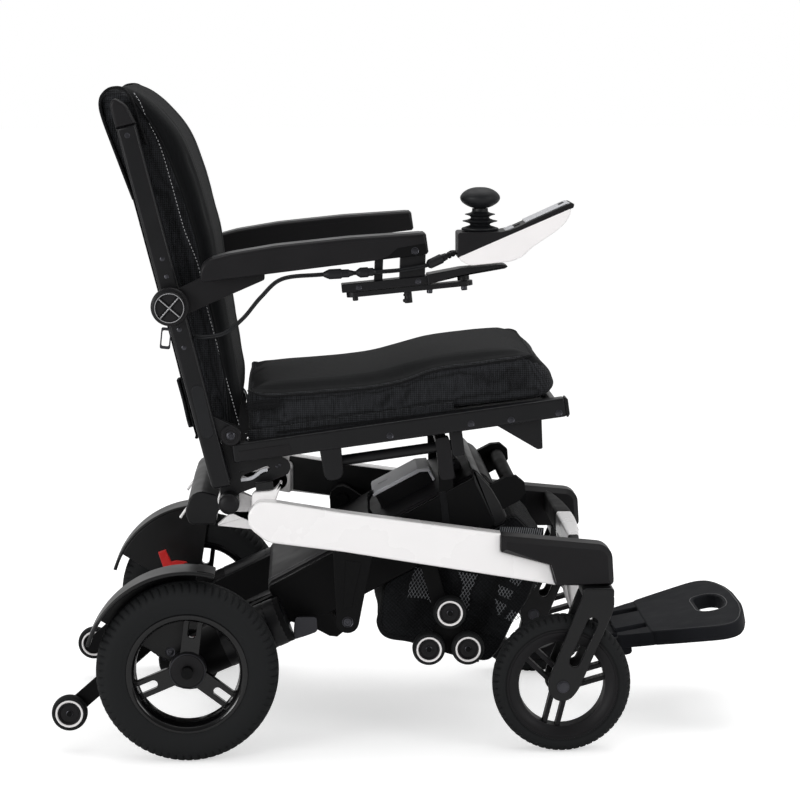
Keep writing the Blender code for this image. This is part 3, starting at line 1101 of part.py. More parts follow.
node("joystick", PLASTIC, stick_axis, turned(knob, STICK, 20, "Z"),
     [joystick_pin(-GIMBAL_RING[1] + 0.0005, GIMBAL_RING[1] - 0.0005, TINY_PIN, along_y=True)])
folds = [(0.0105, TOP_Z + GAP), (0.0256, TOP_Z + GAP), (0.0262, 0.7575), (0.0245, 0.7598), (0.0150, 0.7620),
         (0.0150, 0.7648), (0.0235, 0.7666), (0.0235, 0.7684), (0.0140, 0.7708), (0.0140, 0.7742),
         (0.0205, 0.7762), (0.0205, 0.7782), (0.0115, 0.7812), (0.0115, 0.7855),
         (0.0085, 0.7855), (0.0085, 0.7800), (0.0105, 0.7760)]
node("joystick_bellows", RUBBER, CONTROLLER, turned(folds, STICK, 16, "Z"))


# Controller cable, from the controller's back to the front of the right back tube

def smooth_path(stops, spacing):
    """Points along a smooth curve through stops, at an even spacing."""
    dense = []
    for i in range(len(stops) - 1):
        p = [Vector(stops[min(max(i + k, 0), len(stops) - 1)]) for k in (-1, 0, 1, 2)]
        for j in range(12):
            t = j / 12
            bend = 2 * p[0] - 5 * p[1] + 4 * p[2] - p[3]
            twist = 3 * p[1] - p[0] - 3 * p[2] + p[3]
            dense.append(0.5 * (2 * p[1] + (p[2] - p[0]) * t + bend * t ** 2 + twist * t ** 3))
    dense.append(Vector(stops[-1]))
    out, left = [dense[0]], spacing
    for a, b in zip(dense, dense[1:]):
        run = (b - a).length
        while run >= left:
            a = a + (b - a) * (left / run)
            run -= left
            left = spacing
            out.append(a)
        left -= run
    if (out[-1] - dense[-1]).length < spacing * 0.5:
        out.pop()
    return out + [dense[-1]]


tube_front = back_point(0.2214, BACK_TUBE_DEPTH / 2)
cable_y = -CONTROLLER_Y - MOUNT_WIDTH / 2 - 0.0047
cable_stops = [(REAR_FACE_X - 0.0013, -CONTROLLER_Y - 0.006, 0.7240),
               (REAR_FACE_X - 0.0085, -CONTROLLER_Y - 0.006, 0.7238), (0.3660, -0.2530, 0.7175),
               (0.3430, cable_y, 0.7075), (0.3014, cable_y, 0.7000), (0.2420, cable_y, 0.6965),
               (0.1900, cable_y + 0.001, 0.6940), (0.1378, -0.2480, 0.6870), (0.1081, -0.2400, 0.6610),
               (0.0825, -0.2300, 0.6300), (0.0550, -0.2180, 0.6075), (0.0270, -0.2070, 0.6010),
               (tube_front[0] + 0.0012, -0.2050, tube_front[1])]
curve = bpy.data.curves.new("control_cable", "CURVE")
curve.dimensions = "3D"
curve.bevel_depth = CABLE_RADIUS
curve.bevel_resolution = 2
curve.use_fill_caps = True
path = smooth_path(cable_stops, CABLE_RADIUS * 4.2)
spline = curve.splines.new("POLY")
spline.points.add(len(path) - 1)
for point, where in zip(spline.points, path):
    point.co = (*where, 1)
curve.materials.append(RUBBER)
cable = bpy.data.objects.new("control_cable", curve)
bpy.context.collection.objects.link(cable)
cable.parent = ARMREST["right"]
cable.location = -PLACES[cable.parent.name]
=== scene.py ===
"""Looks of the folding power wheelchair: its wheels, rails, tubes, cushions, basket and controller.

Shapes are written in the chair's own side profile: x forward from the rear axle, y to the left and z
up from the ground, all in metres. piece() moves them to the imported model's place.
"""
import json
import math

import bmesh
import bpy
import numpy as np
from mathutils import Matrix, Vector

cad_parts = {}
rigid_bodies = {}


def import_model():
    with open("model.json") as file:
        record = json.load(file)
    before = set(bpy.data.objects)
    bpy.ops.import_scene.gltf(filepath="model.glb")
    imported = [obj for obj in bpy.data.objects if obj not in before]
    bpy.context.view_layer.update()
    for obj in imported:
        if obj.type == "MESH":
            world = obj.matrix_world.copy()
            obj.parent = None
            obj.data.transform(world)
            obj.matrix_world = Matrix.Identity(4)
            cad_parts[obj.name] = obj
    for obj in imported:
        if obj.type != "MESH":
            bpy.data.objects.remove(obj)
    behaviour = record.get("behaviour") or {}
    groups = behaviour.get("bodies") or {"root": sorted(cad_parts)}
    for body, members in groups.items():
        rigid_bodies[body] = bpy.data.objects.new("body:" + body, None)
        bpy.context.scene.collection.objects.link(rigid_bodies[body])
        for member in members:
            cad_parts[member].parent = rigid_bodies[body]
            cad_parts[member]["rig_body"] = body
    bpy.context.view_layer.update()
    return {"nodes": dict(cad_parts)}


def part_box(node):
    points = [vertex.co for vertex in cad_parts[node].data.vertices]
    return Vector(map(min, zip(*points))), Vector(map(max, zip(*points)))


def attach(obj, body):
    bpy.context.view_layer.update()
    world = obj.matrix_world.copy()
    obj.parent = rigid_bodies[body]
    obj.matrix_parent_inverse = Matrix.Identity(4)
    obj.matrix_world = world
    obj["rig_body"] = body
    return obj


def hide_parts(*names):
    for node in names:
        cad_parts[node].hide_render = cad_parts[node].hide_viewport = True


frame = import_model()

tyre_low, tyre_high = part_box("drive_tyre_left")
X0 = (tyre_low.x + tyre_high.x) / 2      # the rear axle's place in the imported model
SIDES = (("left", 1), ("right", -1))


# Camera: the photograph's angle, with its long lens

VIEW_AZIMUTH, VIEW_HEIGHT = math.radians(-2.19), math.radians(7.81)
VIEW_PLACE = (0.16768, -3.81305, 1.00373)
VIEW_FOCUS, VIEW_PIXELS, SENSOR_MM = 2538, 800, 36      # the focal length and the picture's width in pixels
back = Vector((math.sin(VIEW_AZIMUTH) * math.cos(VIEW_HEIGHT),
               -math.cos(VIEW_AZIMUTH) * math.cos(VIEW_HEIGHT),
               math.sin(VIEW_HEIGHT)))
camera = bpy.data.objects.new("camera", bpy.data.cameras.new("camera"))
bpy.context.scene.collection.objects.link(camera)
camera.data.sensor_width = SENSOR_MM
camera.data.lens = SENSOR_MM * VIEW_FOCUS / VIEW_PIXELS
camera.location = (VIEW_PLACE[0] + X0, VIEW_PLACE[1], VIEW_PLACE[2])
camera.rotation_mode = "QUATERNION"
camera.rotation_quaternion = (-back).to_track_quat("-Z", "Y")
camera.data.clip_end = 100
bpy.context.scene.camera = camera
bpy.context.scene.view_settings.view_transform = "Standard"


# Profile lines of the chair

def line(origin, degrees):
    """A function that puts (along, above) points on a line through the origin, tilted by degrees."""
    c, s = math.cos(math.radians(degrees)), math.sin(math.radians(degrees))

    def at(points):
        p = np.asarray(points, float)
        return np.stack([origin[0] + p[..., 0] * c - p[..., 1] * s,
                         origin[1] + p[..., 0] * s + p[..., 1] * c], -1)
    return at


CUSHION_FOOT, CUSHION_TILT = (0.0835, 0.4572), 6.6
BACK_FOOT, BACK_TILT = (0.0498, 0.3835), 104.16
MOUNT_TILT, PANEL_TILT = 5.6, 24.05
FOOT_PIN = (0.632, 0.104)
seat = line((0.0595, 0.3604), 7.8)
beam = line((0.110, 0.2285), 28.1)
cushion_line = line(CUSHION_FOOT, CUSHION_TILT)
arm = line((0.0237, 0.6835), 7.0)
mount = line((0.2406, 0.6650), MOUNT_TILT)
panel = line((0.4582, 0.7571), PANEL_TILT)
foot = line(FOOT_PIN, 11.0)
back_up = line(BACK_FOOT, BACK_TILT)


def tube(points):
    """(t up the back tube, d in front of it) to the side profile."""
    p = np.asarray(points, float)
    return back_up(np.stack([p[..., 0], -p[..., 1]], -1))


REAR_PIVOT, BACK_PIVOT = seat((0, 0)), seat((0.0168, 0.098))
SCISSOR = seat((0.1585, -0.080))
HUB = tube((0.2732, -0.0035))
AXLE, CASTER_AXLE, TIP_AXLE = (0, 0.130), (0.538, 0.100), (-0.173, 0.0567)
WHEEL_Y, CASTER_Y, CONTROL_Y = 0.270, 0.23775, -0.2425


# Surfaces

def unit(v):
    v = np.asarray(v, float)
    return v / np.maximum(np.linalg.norm(v, axis=-1, keepdims=True), 1e-12)


def at_y(points, y):
    """Points (x, z) of the side profile as (x, y, z), with one y for all or a y for each."""
    p = np.asarray(points, float)
    return np.stack([p[..., 0], np.broadcast_to(y, p.shape[:-1]), p[..., 1]], -1)


def skin(rings, closed=True, caps=True, wrap=False):
    """A grid of points, rings by places, as quads. closed joins each ring's ends, caps fills the first
    and last ring, wrap joins the last ring to the first."""
    grid = np.asarray(rings, float)
    m, n = grid.shape[:2]
    i = np.arange(n if closed else n - 1)
    rows = np.arange(m if wrap else m - 1)[:, None]
    a, b = rows * n + i, rows * n + (i + 1) % n
    c, d = (rows + 1) % m * n + (i + 1) % n, (rows + 1) % m * n + i
    faces = np.stack([a, b, c, d], -1).reshape(-1, 4).tolist()
    if caps and not wrap:
        faces += [list(range(n))[::-1], list(range((m - 1) * n, m * n))]
    return grid.reshape(-1, 3), faces


def turned(profile, origin, axis=(0, 1, 0), steps=72, loop=False):
    """Each (radius, offset) goes once round the axis: origin + axis*offset + radius*(u cos + v sin).
    loop joins the last point of the profile to the first, for a ring."""
    p = np.asarray(profile, float)
    a = unit(axis)
    u = unit(np.cross(a, (0.123, 0.456, 0.881) if abs(a[1]) > 0.9 else (0.0, 1.0, 0.0)))
    v = np.cross(a, u)
    t = np.linspace(0, 2 * np.pi, steps, endpoint=False)
    around = np.cos(t)[:, None] * u + np.sin(t)[:, None] * v
    grid = np.asarray(origin, float) + p[:, None, 1:] * a + p[:, None, :1] * around[None]
    return skin(grid, caps=False, wrap=loop)


def spun(profile, at, y=0.0, out=1, steps=32, loop=False):
    """A part turned about an axle across the chair at (x, z): its (radius, offset) profile starts at y."""
    return turned([(r, y + out * o) for r, o in profile], (at[0], 0, at[1]), steps=steps, loop=loop)


def pin(at, radius, y0, y1, steps=32):
    """A plain round pin across the chair from y0 to y1."""
    return spun([(0, y0), (radius, y0), (radius, y1), (0, y1)], at, steps=steps)


def eased(points, radius, steps=5, sharp=()):
    """An outline whose corners are drawn as short parabolas that start a radius before each corner."""
    p = np.asarray(points, float)
    before, after = np.roll(p, 1, 0) - p, np.roll(p, -1, 0) - p
    reach = np.minimum(radius, np.minimum(np.linalg.norm(before, axis=1),
                                          np.linalg.norm(after, axis=1)) / 2.1)
    reach[list(sharp)] = 0
    start, end = p + unit(before) * reach[:, None], p + unit(after) * reach[:, None]
    t = np.linspace(0, 1, steps + 1)[None, :, None]
    made = (1 - t) ** 2 * start[:, None] + 2 * t * (1 - t) * p[:, None] + t * t * end[:, None]
    kept = np.ones(made.shape[:2], bool)
    kept[list(sharp), 1:] = False
    return made[kept]


def capsule(a, b, radius, steps=14):
    """A strip with round ends from a to b."""
    a, b = np.asarray(a, float), np.asarray(b, float)
    tilt = math.atan2(b[1] - a[1], b[0] - a[0])
    t = np.linspace(-np.pi / 2, np.pi / 2, steps)
    out = b + radius * np.stack([np.cos(t + tilt), np.sin(t + tilt)], -1)
    home = a + radius * np.stack([np.cos(t + tilt + np.pi), np.sin(t + tilt + np.pi)], -1)
    return np.concatenate([out, home])


def circle(centre, radius, steps=64):
    t = np.linspace(0, 2 * np.pi, steps, endpoint=False)
    return np.asarray(centre, float) + radius * np.stack([np.cos(t), np.sin(t)], -1)


def slab(start, end, low, high):
    return [(start, low), (end, low), (end, high), (start, high)]


def outward(outline):
    """The mitred direction out of an outline at each of its points."""
    p = np.asarray(outline, float)
    ahead, behind = unit(np.roll(p, -1, 0) - p), unit(p - np.roll(p, 1, 0))
    area = np.sum(p[:, 0] * np.roll(p[:, 1], -1) - np.roll(p[:, 0], -1) * p[:, 1])
    side = 1 if area > 0 else -1
    n1 = np.stack([ahead[:, 1], -ahead[:, 0]], -1) * side
    n2 = np.stack([behind[:, 1], -behind[:, 0]], -1) * side
    n = unit(n1 + n2)
    return n / np.maximum(0.55, np.sum(n * n1, 1, keepdims=True))


def plate(outline, y0, y1, edge=0.0015, steps=3, draw=None):
    """An outline of the side profile carried across the chair from y0 to y1. Near both faces it draws in
    by edge*(1 - sin) while it goes across by edge*(1 - cos), a quarter round. draw scales that per point."""
    p = np.asarray(outline, float)
    low, high = min(y0, y1), max(y0, y1)
    n = outward(p) * (np.ones(len(p)) if draw is None else np.asarray(draw, float))[:, None]
    a = np.linspace(0, np.pi / 2, steps + 1)
    inset, across = edge * (1 - np.sin(a)), edge * (1 - np.cos(a))
    ins, ys = np.concatenate([inset, inset[::-1]]), np.concatenate([low + across, high - across[::-1]])
    flat = p[None] - n[None] * ins[:, None, None]
    return skin(at_y(flat, ys[:, None]))


def holed(outer, inner, low, high, edge=0.0015, steps=3, place=None):
    """A flat part with one hole: outer and inner are loops of equally many points in plan. The section
    runs up the hole's wall, over the top, down the outside and back under, all round."""
    o, i = np.asarray(outer, float), np.asarray(inner, float)
    no, ni = outward(o), outward(i)
    a = np.linspace(0, np.pi / 2, steps + 1)
    inset, rise = edge * (1 - np.sin(a)), edge * (1 - np.cos(a))
    rows = [(o - no * x, low + z) for x, z in zip(inset, rise)]
    rows += [(o - no * x, high - z) for x, z in zip(inset[::-1], rise[::-1])]
    mixes = [(o * (1 - k) + i * k) for k in (0.25, 0.5, 0.75)]
    rows += [(m, high) for m in mixes]
    rows += [(i + ni * x, high - z) for x, z in zip(inset, rise)]
    rows += [(i + ni * x, low + z) for x, z in zip(inset[::-1], rise[::-1])]
    rows += [(m, low) for m in mixes[::-1]]
    grid = np.array([np.column_stack([xy, np.full(len(xy), z)]) for xy, z in rows])
    points, faces = skin(grid, wrap=True)
    return (points if place is None else place(points)), faces


def swept(path, radius, steps=12, squash=1.0):
    """A tube carried along a path: each ring is path + radius*(u cos + v sin). u stays level, or lies across
    the chair where the path stands upright."""
    p = np.asarray(path, float)
    r = np.broadcast_to(np.asarray(radius, float), (len(p),))
    ahead = unit(np.gradient(p, axis=0))
    u = unit(np.cross(ahead, (0.0, 0.0, 1.0)))
    weak = np.linalg.norm(np.cross(ahead, (0.0, 0.0, 1.0)), axis=1) < 0.15
    u[weak] = unit(np.cross(ahead[weak], (0.0, 1.0, 0.0)))
    v = np.cross(ahead, u)
    t = np.linspace(0, 2 * np.pi, steps, endpoint=False)
    grid = (p[:, None] + r[:, None, None] * (np.cos(t)[None, :, None] * u[:, None]
            + squash * np.sin(t)[None, :, None] * v[:, None]))
    return skin(grid)


def flowing(stops, count):
    """count points on a smooth curve through stops: Catmull-Rom, even along its length."""
    s = np.asarray(stops, float)
    s = np.concatenate([s[:1] * 2 - s[1:2], s, s[-1:] * 2 - s[-2:-1]])
    t = np.linspace(0, 1, 24, endpoint=False)[None, :, None]
    p0, p1, p2, p3 = (s[k:len(s) - 3 + k][:, None] for k in range(4))
    dense = 0.5 * (2 * p1 + (p2 - p0) * t + (2 * p0 - 5 * p1 + 4 * p2 - p3) * t ** 2
                   + (3 * p1 - p0 - 3 * p2 + p3) * t ** 3)
    dense = np.concatenate([dense.reshape(-1, s.shape[1]), s[-2:-1]])
    run = np.concatenate([[0], np.cumsum(np.linalg.norm(np.diff(dense, axis=0), axis=1))])
    at = np.linspace(0, run[-1], count)
    return np.stack([np.interp(at, run, dense[:, k]) for k in range(s.shape[1])], -1)


def resampled(loop, count, centre):
    """A star-shaped loop met by count rays from its centre, so two loops can be joined ray by ray."""
    p = np.asarray(loop, float) - centre
    angle = np.arctan2(p[:, 1], p[:, 0])
    order = np.argsort(angle)
    angle, p = angle[order], p[order]
    angle = np.concatenate([angle[-1:] - 2 * np.pi, angle, angle[:1] + 2 * np.pi])
    p = np.concatenate([p[-1:], p, p[:1]])
    t = np.linspace(-np.pi, np.pi, count, endpoint=False)
    k = np.clip(np.searchsorted(angle, t) - 1, 0, len(angle) - 2)
    d, a, b = np.stack([np.cos(t), np.sin(t)], -1), p[k], p[k + 1]
    cross = lambda m, n: m[:, 0] * n[:, 1] - m[:, 1] * n[:, 0]
    far = cross(a, b - a) / np.where(np.abs(cross(d, b - a)) < 1e-12, 1e-12, cross(d, b - a))
    return centre + d * far[:, None]


def upright(points):
    """Points in plan stood up: the width becomes the height, and the height the width."""
    return points[:, [0, 2, 1]]


def laid_flat(shell):
    """A profile plate laid flat: its outline in plan, its width upwards."""
    return upright(shell[0]), shell[1]


def banded(path, wide, thick, up, corner=0.35, steps=3):
    """A rounded rectangle carried along a path: wide along up, thick across it. up is one direction or one
    per point."""
    p = np.asarray(path, float)
    ahead = unit(np.gradient(p, axis=0))
    up = np.broadcast_to(np.asarray(up, float), p.shape)
    up = unit(up - ahead * np.sum(up * ahead, 1, keepdims=True))
    side = np.cross(ahead, up)
    w = np.broadcast_to(np.asarray(wide, float), (len(p),))[:, None, None] / 2
    t = np.broadcast_to(np.asarray(thick, float), (len(p),))[:, None, None] / 2
    a = np.linspace(0, np.pi / 2, steps + 1)
    r = corner * float(np.min(t))
    ring = np.concatenate([np.stack([np.cos(a + q * np.pi / 2), np.sin(a + q * np.pi / 2)],
                                    -1) for q in range(4)])
    mark = np.repeat([(1, 1), (-1, 1), (-1, -1), (1, -1)], steps + 1, axis=0)
    grid = (p[:, None] + up[:, None] * ((w - r) * mark[None, :, :1] + r * ring[None, :, :1])
            + side[:, None] * ((t - r) * mark[None, :, 1:] + r * ring[None, :, 1:]))
    return skin(grid)


def box_skin(nx, ny, nz):
    """The surface of a unit box in nx, ny and nz steps: its (a, b, c) points, each once, and its quads."""
    counts, grids, faces, base = (nx, ny, nz), [], [], 0
    for k in range(3):
        m, n = [counts[j] for j in range(3) if j != k]
        p, q = np.meshgrid(np.linspace(0, 1, m + 1), np.linspace(0, 1, n + 1), indexing="ij")
        for end in (0.0, 1.0):
            points, quads = skin(np.insert(np.stack([p, q], -1), k, end, axis=-1), closed=False, caps=False)
            grids.append(points)
            faces.append(np.array(quads) + base)
            base += len(points)
    _, first, place = np.unique(np.round(np.concatenate(grids), 7), axis=0, return_index=True,
                                return_inverse=True)
    return np.concatenate(grids)[first], place.reshape(-1)[np.concatenate(faces)].tolist()


def curve(stops, u):
    """A smooth height through stops of (u, height): cubic steps with no overshoot."""
    s = np.asarray(stops, float)
    k = np.clip(np.searchsorted(s[:, 0], u) - 1, 0, len(s) - 2)
    slope = np.diff(s[:, 1]) / np.diff(s[:, 0])
    m = np.concatenate([slope[:1], (slope[1:] + slope[:-1]) / 2 * (slope[:-1] * slope[1:] > 0), slope[-1:]])
    w = s[k + 1, 0] - s[k, 0]
    t = np.clip((u - s[k, 0]) / w, 0, 1)
    return ((2 * t ** 3 - 3 * t ** 2 + 1) * s[k, 1] + (t ** 3 - 2 * t ** 2 + t) * w * m[k]
            + (3 * t ** 2 - 2 * t ** 3) * s[k + 1, 1] + (t ** 3 - t ** 2) * w * m[k + 1])


def cornered(p, q, r):
    """Depths p and q inside two faces: within r of both, the square corner becomes a quarter circle."""
    i, j = np.clip((r - p) / r, 0, 1), np.clip((r - q) / r, 0, 1)
    return (np.where(p < r, r - r * i * np.sqrt(1 - j * j / 2), p),
            np.where(q < r, r - r * j * np.sqrt(1 - i * i / 2), q))


def creased(places, lines):
    """How deep the creases are at each place: for a line (u0, v0, u1, v1, depth, width) it is
    depth * exp(-(distance / width) squared), and the lines add up."""
    p = np.asarray(places, float)[:, None]
    a, b = np.array([q[:2] for q in lines], float), np.array([q[2:4] for q in lines], float)
    along = np.clip(np.sum((p - a) * (b - a), -1) / np.sum((b - a) ** 2, -1), 0, 1)
    away = np.linalg.norm(p - a - along[..., None] * (b - a), axis=-1)
    deep, wide = np.array([q[4] for q in lines]), np.array([q[5] for q in lines])
    return np.sum(deep * np.exp(-(away / wide) ** 2), -1)


def faced(name, points, faces, merge=0.0):
    """A mesh of these faces, all turned outwards, with points closer than merge made one."""
    mesh = bpy.data.meshes.new(name)
    mesh.from_pydata(points.tolist(), [], faces)
    bm = bmesh.new()
    bm.from_mesh(mesh)
    if merge:
        bmesh.ops.remove_doubles(bm, verts=bm.verts, dist=merge)
    bmesh.ops.recalc_face_normals(bm, faces=bm.faces)
    bm.to_mesh(mesh)
    bm.free()
    return mesh


CLOTH_FRAMES, AIR_PRESSURE = 20, 4.0


def puffed(points, faces, cap, free):
    """The cloth run: 20 frames of air pressure with no gravity. A point then moves by no more than cap
    times free, which is near 0 along a seam, so panels swell between their seams."""
    mesh = faced("cloth_run", points, faces)
    run = bpy.data.objects.new("cloth_run", mesh)
    scene = bpy.context.scene
    scene.collection.objects.link(run)
    cloth_run = run.modifiers.new("cloth", "CLOTH")
    cloth_run.settings.quality = 5
    cloth_run.settings.use_pressure = True
    cloth_run.settings.uniform_pressure_force = AIR_PRESSURE
    cloth_run.settings.effector_weights.gravity = 0
    for frame_number in range(1, CLOTH_FRAMES + 1):
        scene.frame_set(frame_number)
    settled = run.evaluated_get(bpy.context.evaluated_depsgraph_get()).to_mesh()
    after = np.empty(len(settled.vertices) * 3)
    settled.vertices.foreach_get("co", after)
    move = after.reshape(-1, 3) - points
    bpy.data.objects.remove(run)
    scene.frame_set(1)
    bpy.data.meshes.remove(mesh)
    length = np.maximum(np.linalg.norm(move, axis=1, keepdims=True), 1e-9)
    return points + move * np.minimum(1, cap / length) * np.asarray(free, float).reshape(-1, 1)


def piece(name, shells, look, body, stands_for=(), crease=35, level=True):
    """One piece from closed shells: doubles merged, faces outwards, creases kept, and ridden on its body."""
    points = np.concatenate([s[0] for s in shells]) + (X0, 0, 0)
    faces, base = [], 0
    for s in shells:
        faces += [[k + base for k in f] for f in s[1]]
        base += len(s[0])
    return shown(name, faced(name, points, faces, 1e-6), look, body, stands_for, crease, level)


def level_faces(made):
    """Flat faces shade flat right up to their rounded edges."""
    made.modifiers.new("level faces", "WEIGHTED_NORMAL").keep_sharp = True


def shown(name, mesh, look, body, stands_for=(), crease=35, level=True):
    """Puts a finished mesh in the scene with its material, body and the nodes it stands for."""
    mesh.materials.clear()
    mesh.materials.append(look)
    mesh.shade_smooth()
    mesh.set_sharp_from_angle(angle=math.radians(crease))
    made = bpy.data.objects.new(name, mesh)
    bpy.context.scene.collection.objects.link(made)
    if level:
        level_faces(made)
    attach(made, body)
    if stands_for:
        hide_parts(*([stands_for] if isinstance(stands_for, str) else stands_for))
    return made


def dressed(node, name, look, edge):
    """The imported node's own shape with its flat faces joined and its edges rounded off by edge."""
    source = frame["nodes"][node]
    bm = bmesh.new()
    bm.from_mesh(source.data)
    bmesh.ops.remove_doubles(bm, verts=bm.verts, dist=1e-5)
    bmesh.ops.dissolve_limit(bm, angle_limit=math.radians(1.0), verts=bm.verts, edges=bm.edges)
    mesh = bpy.data.meshes.new(name)
    bm.to_mesh(mesh)
    bm.free()
    made = shown(name, mesh, look, source["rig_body"], node, 35, False)
    bevel = made.modifiers.new("rounded edges", "BEVEL")
    bevel.width, bevel.segments, bevel.limit_method = edge, 2, "ANGLE"
    bevel.angle_limit = math.radians(38)
    level_faces(made)


# Finishes

def linear(code):
    """An sRGB hex value as linear red, green, blue and alpha."""
    c = np.array([int(code[k:k + 2], 16) / 255 for k in (1, 3, 5)])
    return (*np.where(c <= 0.04045, c / 12.92, ((c + 0.055) / 1.055) ** 2.4), 1)


def add(tree, kind, inputs=None, **settings):
    """One node with its settings; an input is a value or another node's output."""
    made = tree.nodes.new("ShaderNode" + kind)
    for key, value in settings.items():
        setattr(made, key, value)
    for key, value in (inputs or {}).items():
        if isinstance(value, bpy.types.NodeSocket):
            tree.links.new(value, made.inputs[key])
        else:
            made.inputs[key].default_value = value
    return made


def started(name, values):
    """A new material with values on its shader: the material, its tree, its shader and Object coordinates."""
    made = bpy.data.materials.new(name)
    made.use_nodes = True
    shader = made.node_tree.nodes["Principled BSDF"]
    for socket, value in values.items():
        shader.inputs[socket].default_value = value
    return made, made.node_tree, shader, add(made.node_tree, "TexCoord").outputs["Object"]


def finish(name, dark, light, rough, grain_mm, grain_deep, patch_mm=60, shine=0.0, metal=0.0,
           level=0.5):
    """A material from two close colours that drift over patch_mm, and a grain of grain_mm that is
    grain_deep metres high. rough is its lowest and highest roughness, level how strongly it mirrors and
    shine the weight of a clear coat."""
    coat = {"Coat Weight": shine, "Coat Roughness": 0.08} if shine else {}
    made, tree, shader, where = started(name, {"Metallic": metal, "Specular IOR Level": level, **coat})
    drift = add(tree, "TexNoise", {"Vector": where, "Scale": 1000 / patch_mm, "Detail": 4.0}).outputs[0]
    colour = add(tree, "Mix", {0: drift, 6: linear(dark), 7: linear(light)}, data_type="RGBA")
    tree.links.new(colour.outputs[2], shader.inputs["Base Color"])
    worn = add(tree, "MapRange", {"Value": drift, "From Min": 0.3, "From Max": 0.7, "To Min": rough[0],
                                  "To Max": rough[1]})
    tree.links.new(worn.outputs[0], shader.inputs["Roughness"])
    grain = add(tree, "TexNoise", {"Vector": where, "Scale": 1000 / grain_mm, "Detail": 3.0}).outputs[0]
    bump = add(tree, "Bump", {"Height": grain, "Distance": grain_deep, "Strength": 0.8})
    tree.links.new(bump.outputs[0], shader.inputs["Normal"])
    return made


# Gloss white powder coat on aluminium: a clear skin over a very faint orange peel
WHITE = finish("white_powder_coat", "#f0eeee", "#f6f4f4", (0.22, 0.32), 4.0, 0.00003, 90,
               shine=0.35)
# Satin black powder coat: fine pebble, so highlights along edges are soft and grey
BLACK = finish("black_powder_coat", "#0d0d0f", "#131315", (0.32, 0.42), 1.4, 0.00003, 50,
               level=0.27)
# Moulded black ABS with a spark-eroded grain: darker and a little broader in its highlights
MOULDED = finish("moulded_black_abs", "#111012", "#171618", (0.40, 0.50), 1.6, 0.00005, 45,
                 level=0.22)
# Solid rubber tyre compound: charcoal, matt, with the dusty bloom that new rubber has
TYRE = finish("tyre_compound", "#131415", "#1d1e1f", (0.66, 0.82), 2.2, 0.00006, 30,
              level=0.18)
# Soft rubber of the gaiter and cables: darker and smoother than the tyres
RUBBER = finish("soft_black_rubber", "#0f1012", "#17181b", (0.42, 0.55), 1.2, 0.00002, 25,
                level=0.28)
# Satin black ABS of the guards, the fork and the bay's panels: smoother, with soft grey highlights
SATIN = finish("satin_black_abs", "#101011", "#161617", (0.28, 0.38), 1.4, 0.00002, 45,
               level=0.30)
# Matt black made darker than the other blacks: painted shade for the parts inside and under the frame, where
# little light reaches
SHADE_BLACK = finish("matt_black_ecoat", "#060607", "#0a0a0b", (0.50, 0.65), 1.4, 0.00004, 40,
              level=0.12)
# Spark-grained polypropylene of the footplate: a coarse pebble that breaks up its highlights
GRAINED = finish("grained_black_polypropylene", "#141518", "#1e1f23", (0.62, 0.74), 2.4,
                 0.00022, 35,
                 level=0.10)
# Bare grey casting of the motor's lug
GREY_CAST = finish("grey_cast_alloy", "#3c3c3f", "#4c4c50", (0.38, 0.52), 1.2, 0.00004, 15,
                   metal=1.0)
# Gloss black lacquer on the cast wheels: sharp highlights on nearly pure black
LACQUER = finish("black_gloss_lacquer", "#050506", "#09090a", (0.14, 0.24), 6.0, 0.00001, 60,
                 shine=0.35, level=0.25)
# White ABS of the controller's lower shell: satin, faintly warm
SHELL_WHITE = finish("white_abs", "#eeebeb", "#f5f2f2", (0.34, 0.44), 1.5, 0.00002, 70)
# Light grey ABS of the key panel, the controller's rear strip and the hinge latches
GREY = finish("light_grey_abs", "#b6b7bb", "#c8c9cd", (0.34, 0.44), 1.5, 0.00003, 60)
# Pale grey ABS of the battery's lid, made paler than its own grey: painted light for the seat's shade that
# lies on it
LID_GREY_LIT = finish("pale_grey_abs", "#dddde2", "#ebebf0", (0.32, 0.42), 1.5, 0.00003, 60)
# The same black plastic made paler: a painted highlight along the armrests' tops and the footplate's border,
# where the light catches them
HIGHLIT_BLACK_ABS = finish("rubbed_black_abs", "#242426", "#303032", (0.34, 0.44), 1.6, 0.00003, 40,
                level=0.40)
# Red nylon of the brake levers: saturated, half gloss
RED = finish("red_nylon", "#b01414", "#cc1c18", (0.30, 0.42), 1.5, 0.00003, 20)
# Blackened zinc on screws, pins and the inner link parts: dark metal with a blurred sparkle
ZINC = finish("black_zinc_steel", "#3a3a3e", "#55555a", (0.28, 0.42), 1.0, 0.00002, 12,
              metal=1.0)
# Polished stainless of the knob's cross and ring, which paint the knob face's X-shaped reflection and ring of
# light, and of screw heads
STEEL = finish("bright_steel", "#b8b8ba", "#d2d2d4", (0.18, 0.30), 1.0, 0.00001, 12, metal=1.0)


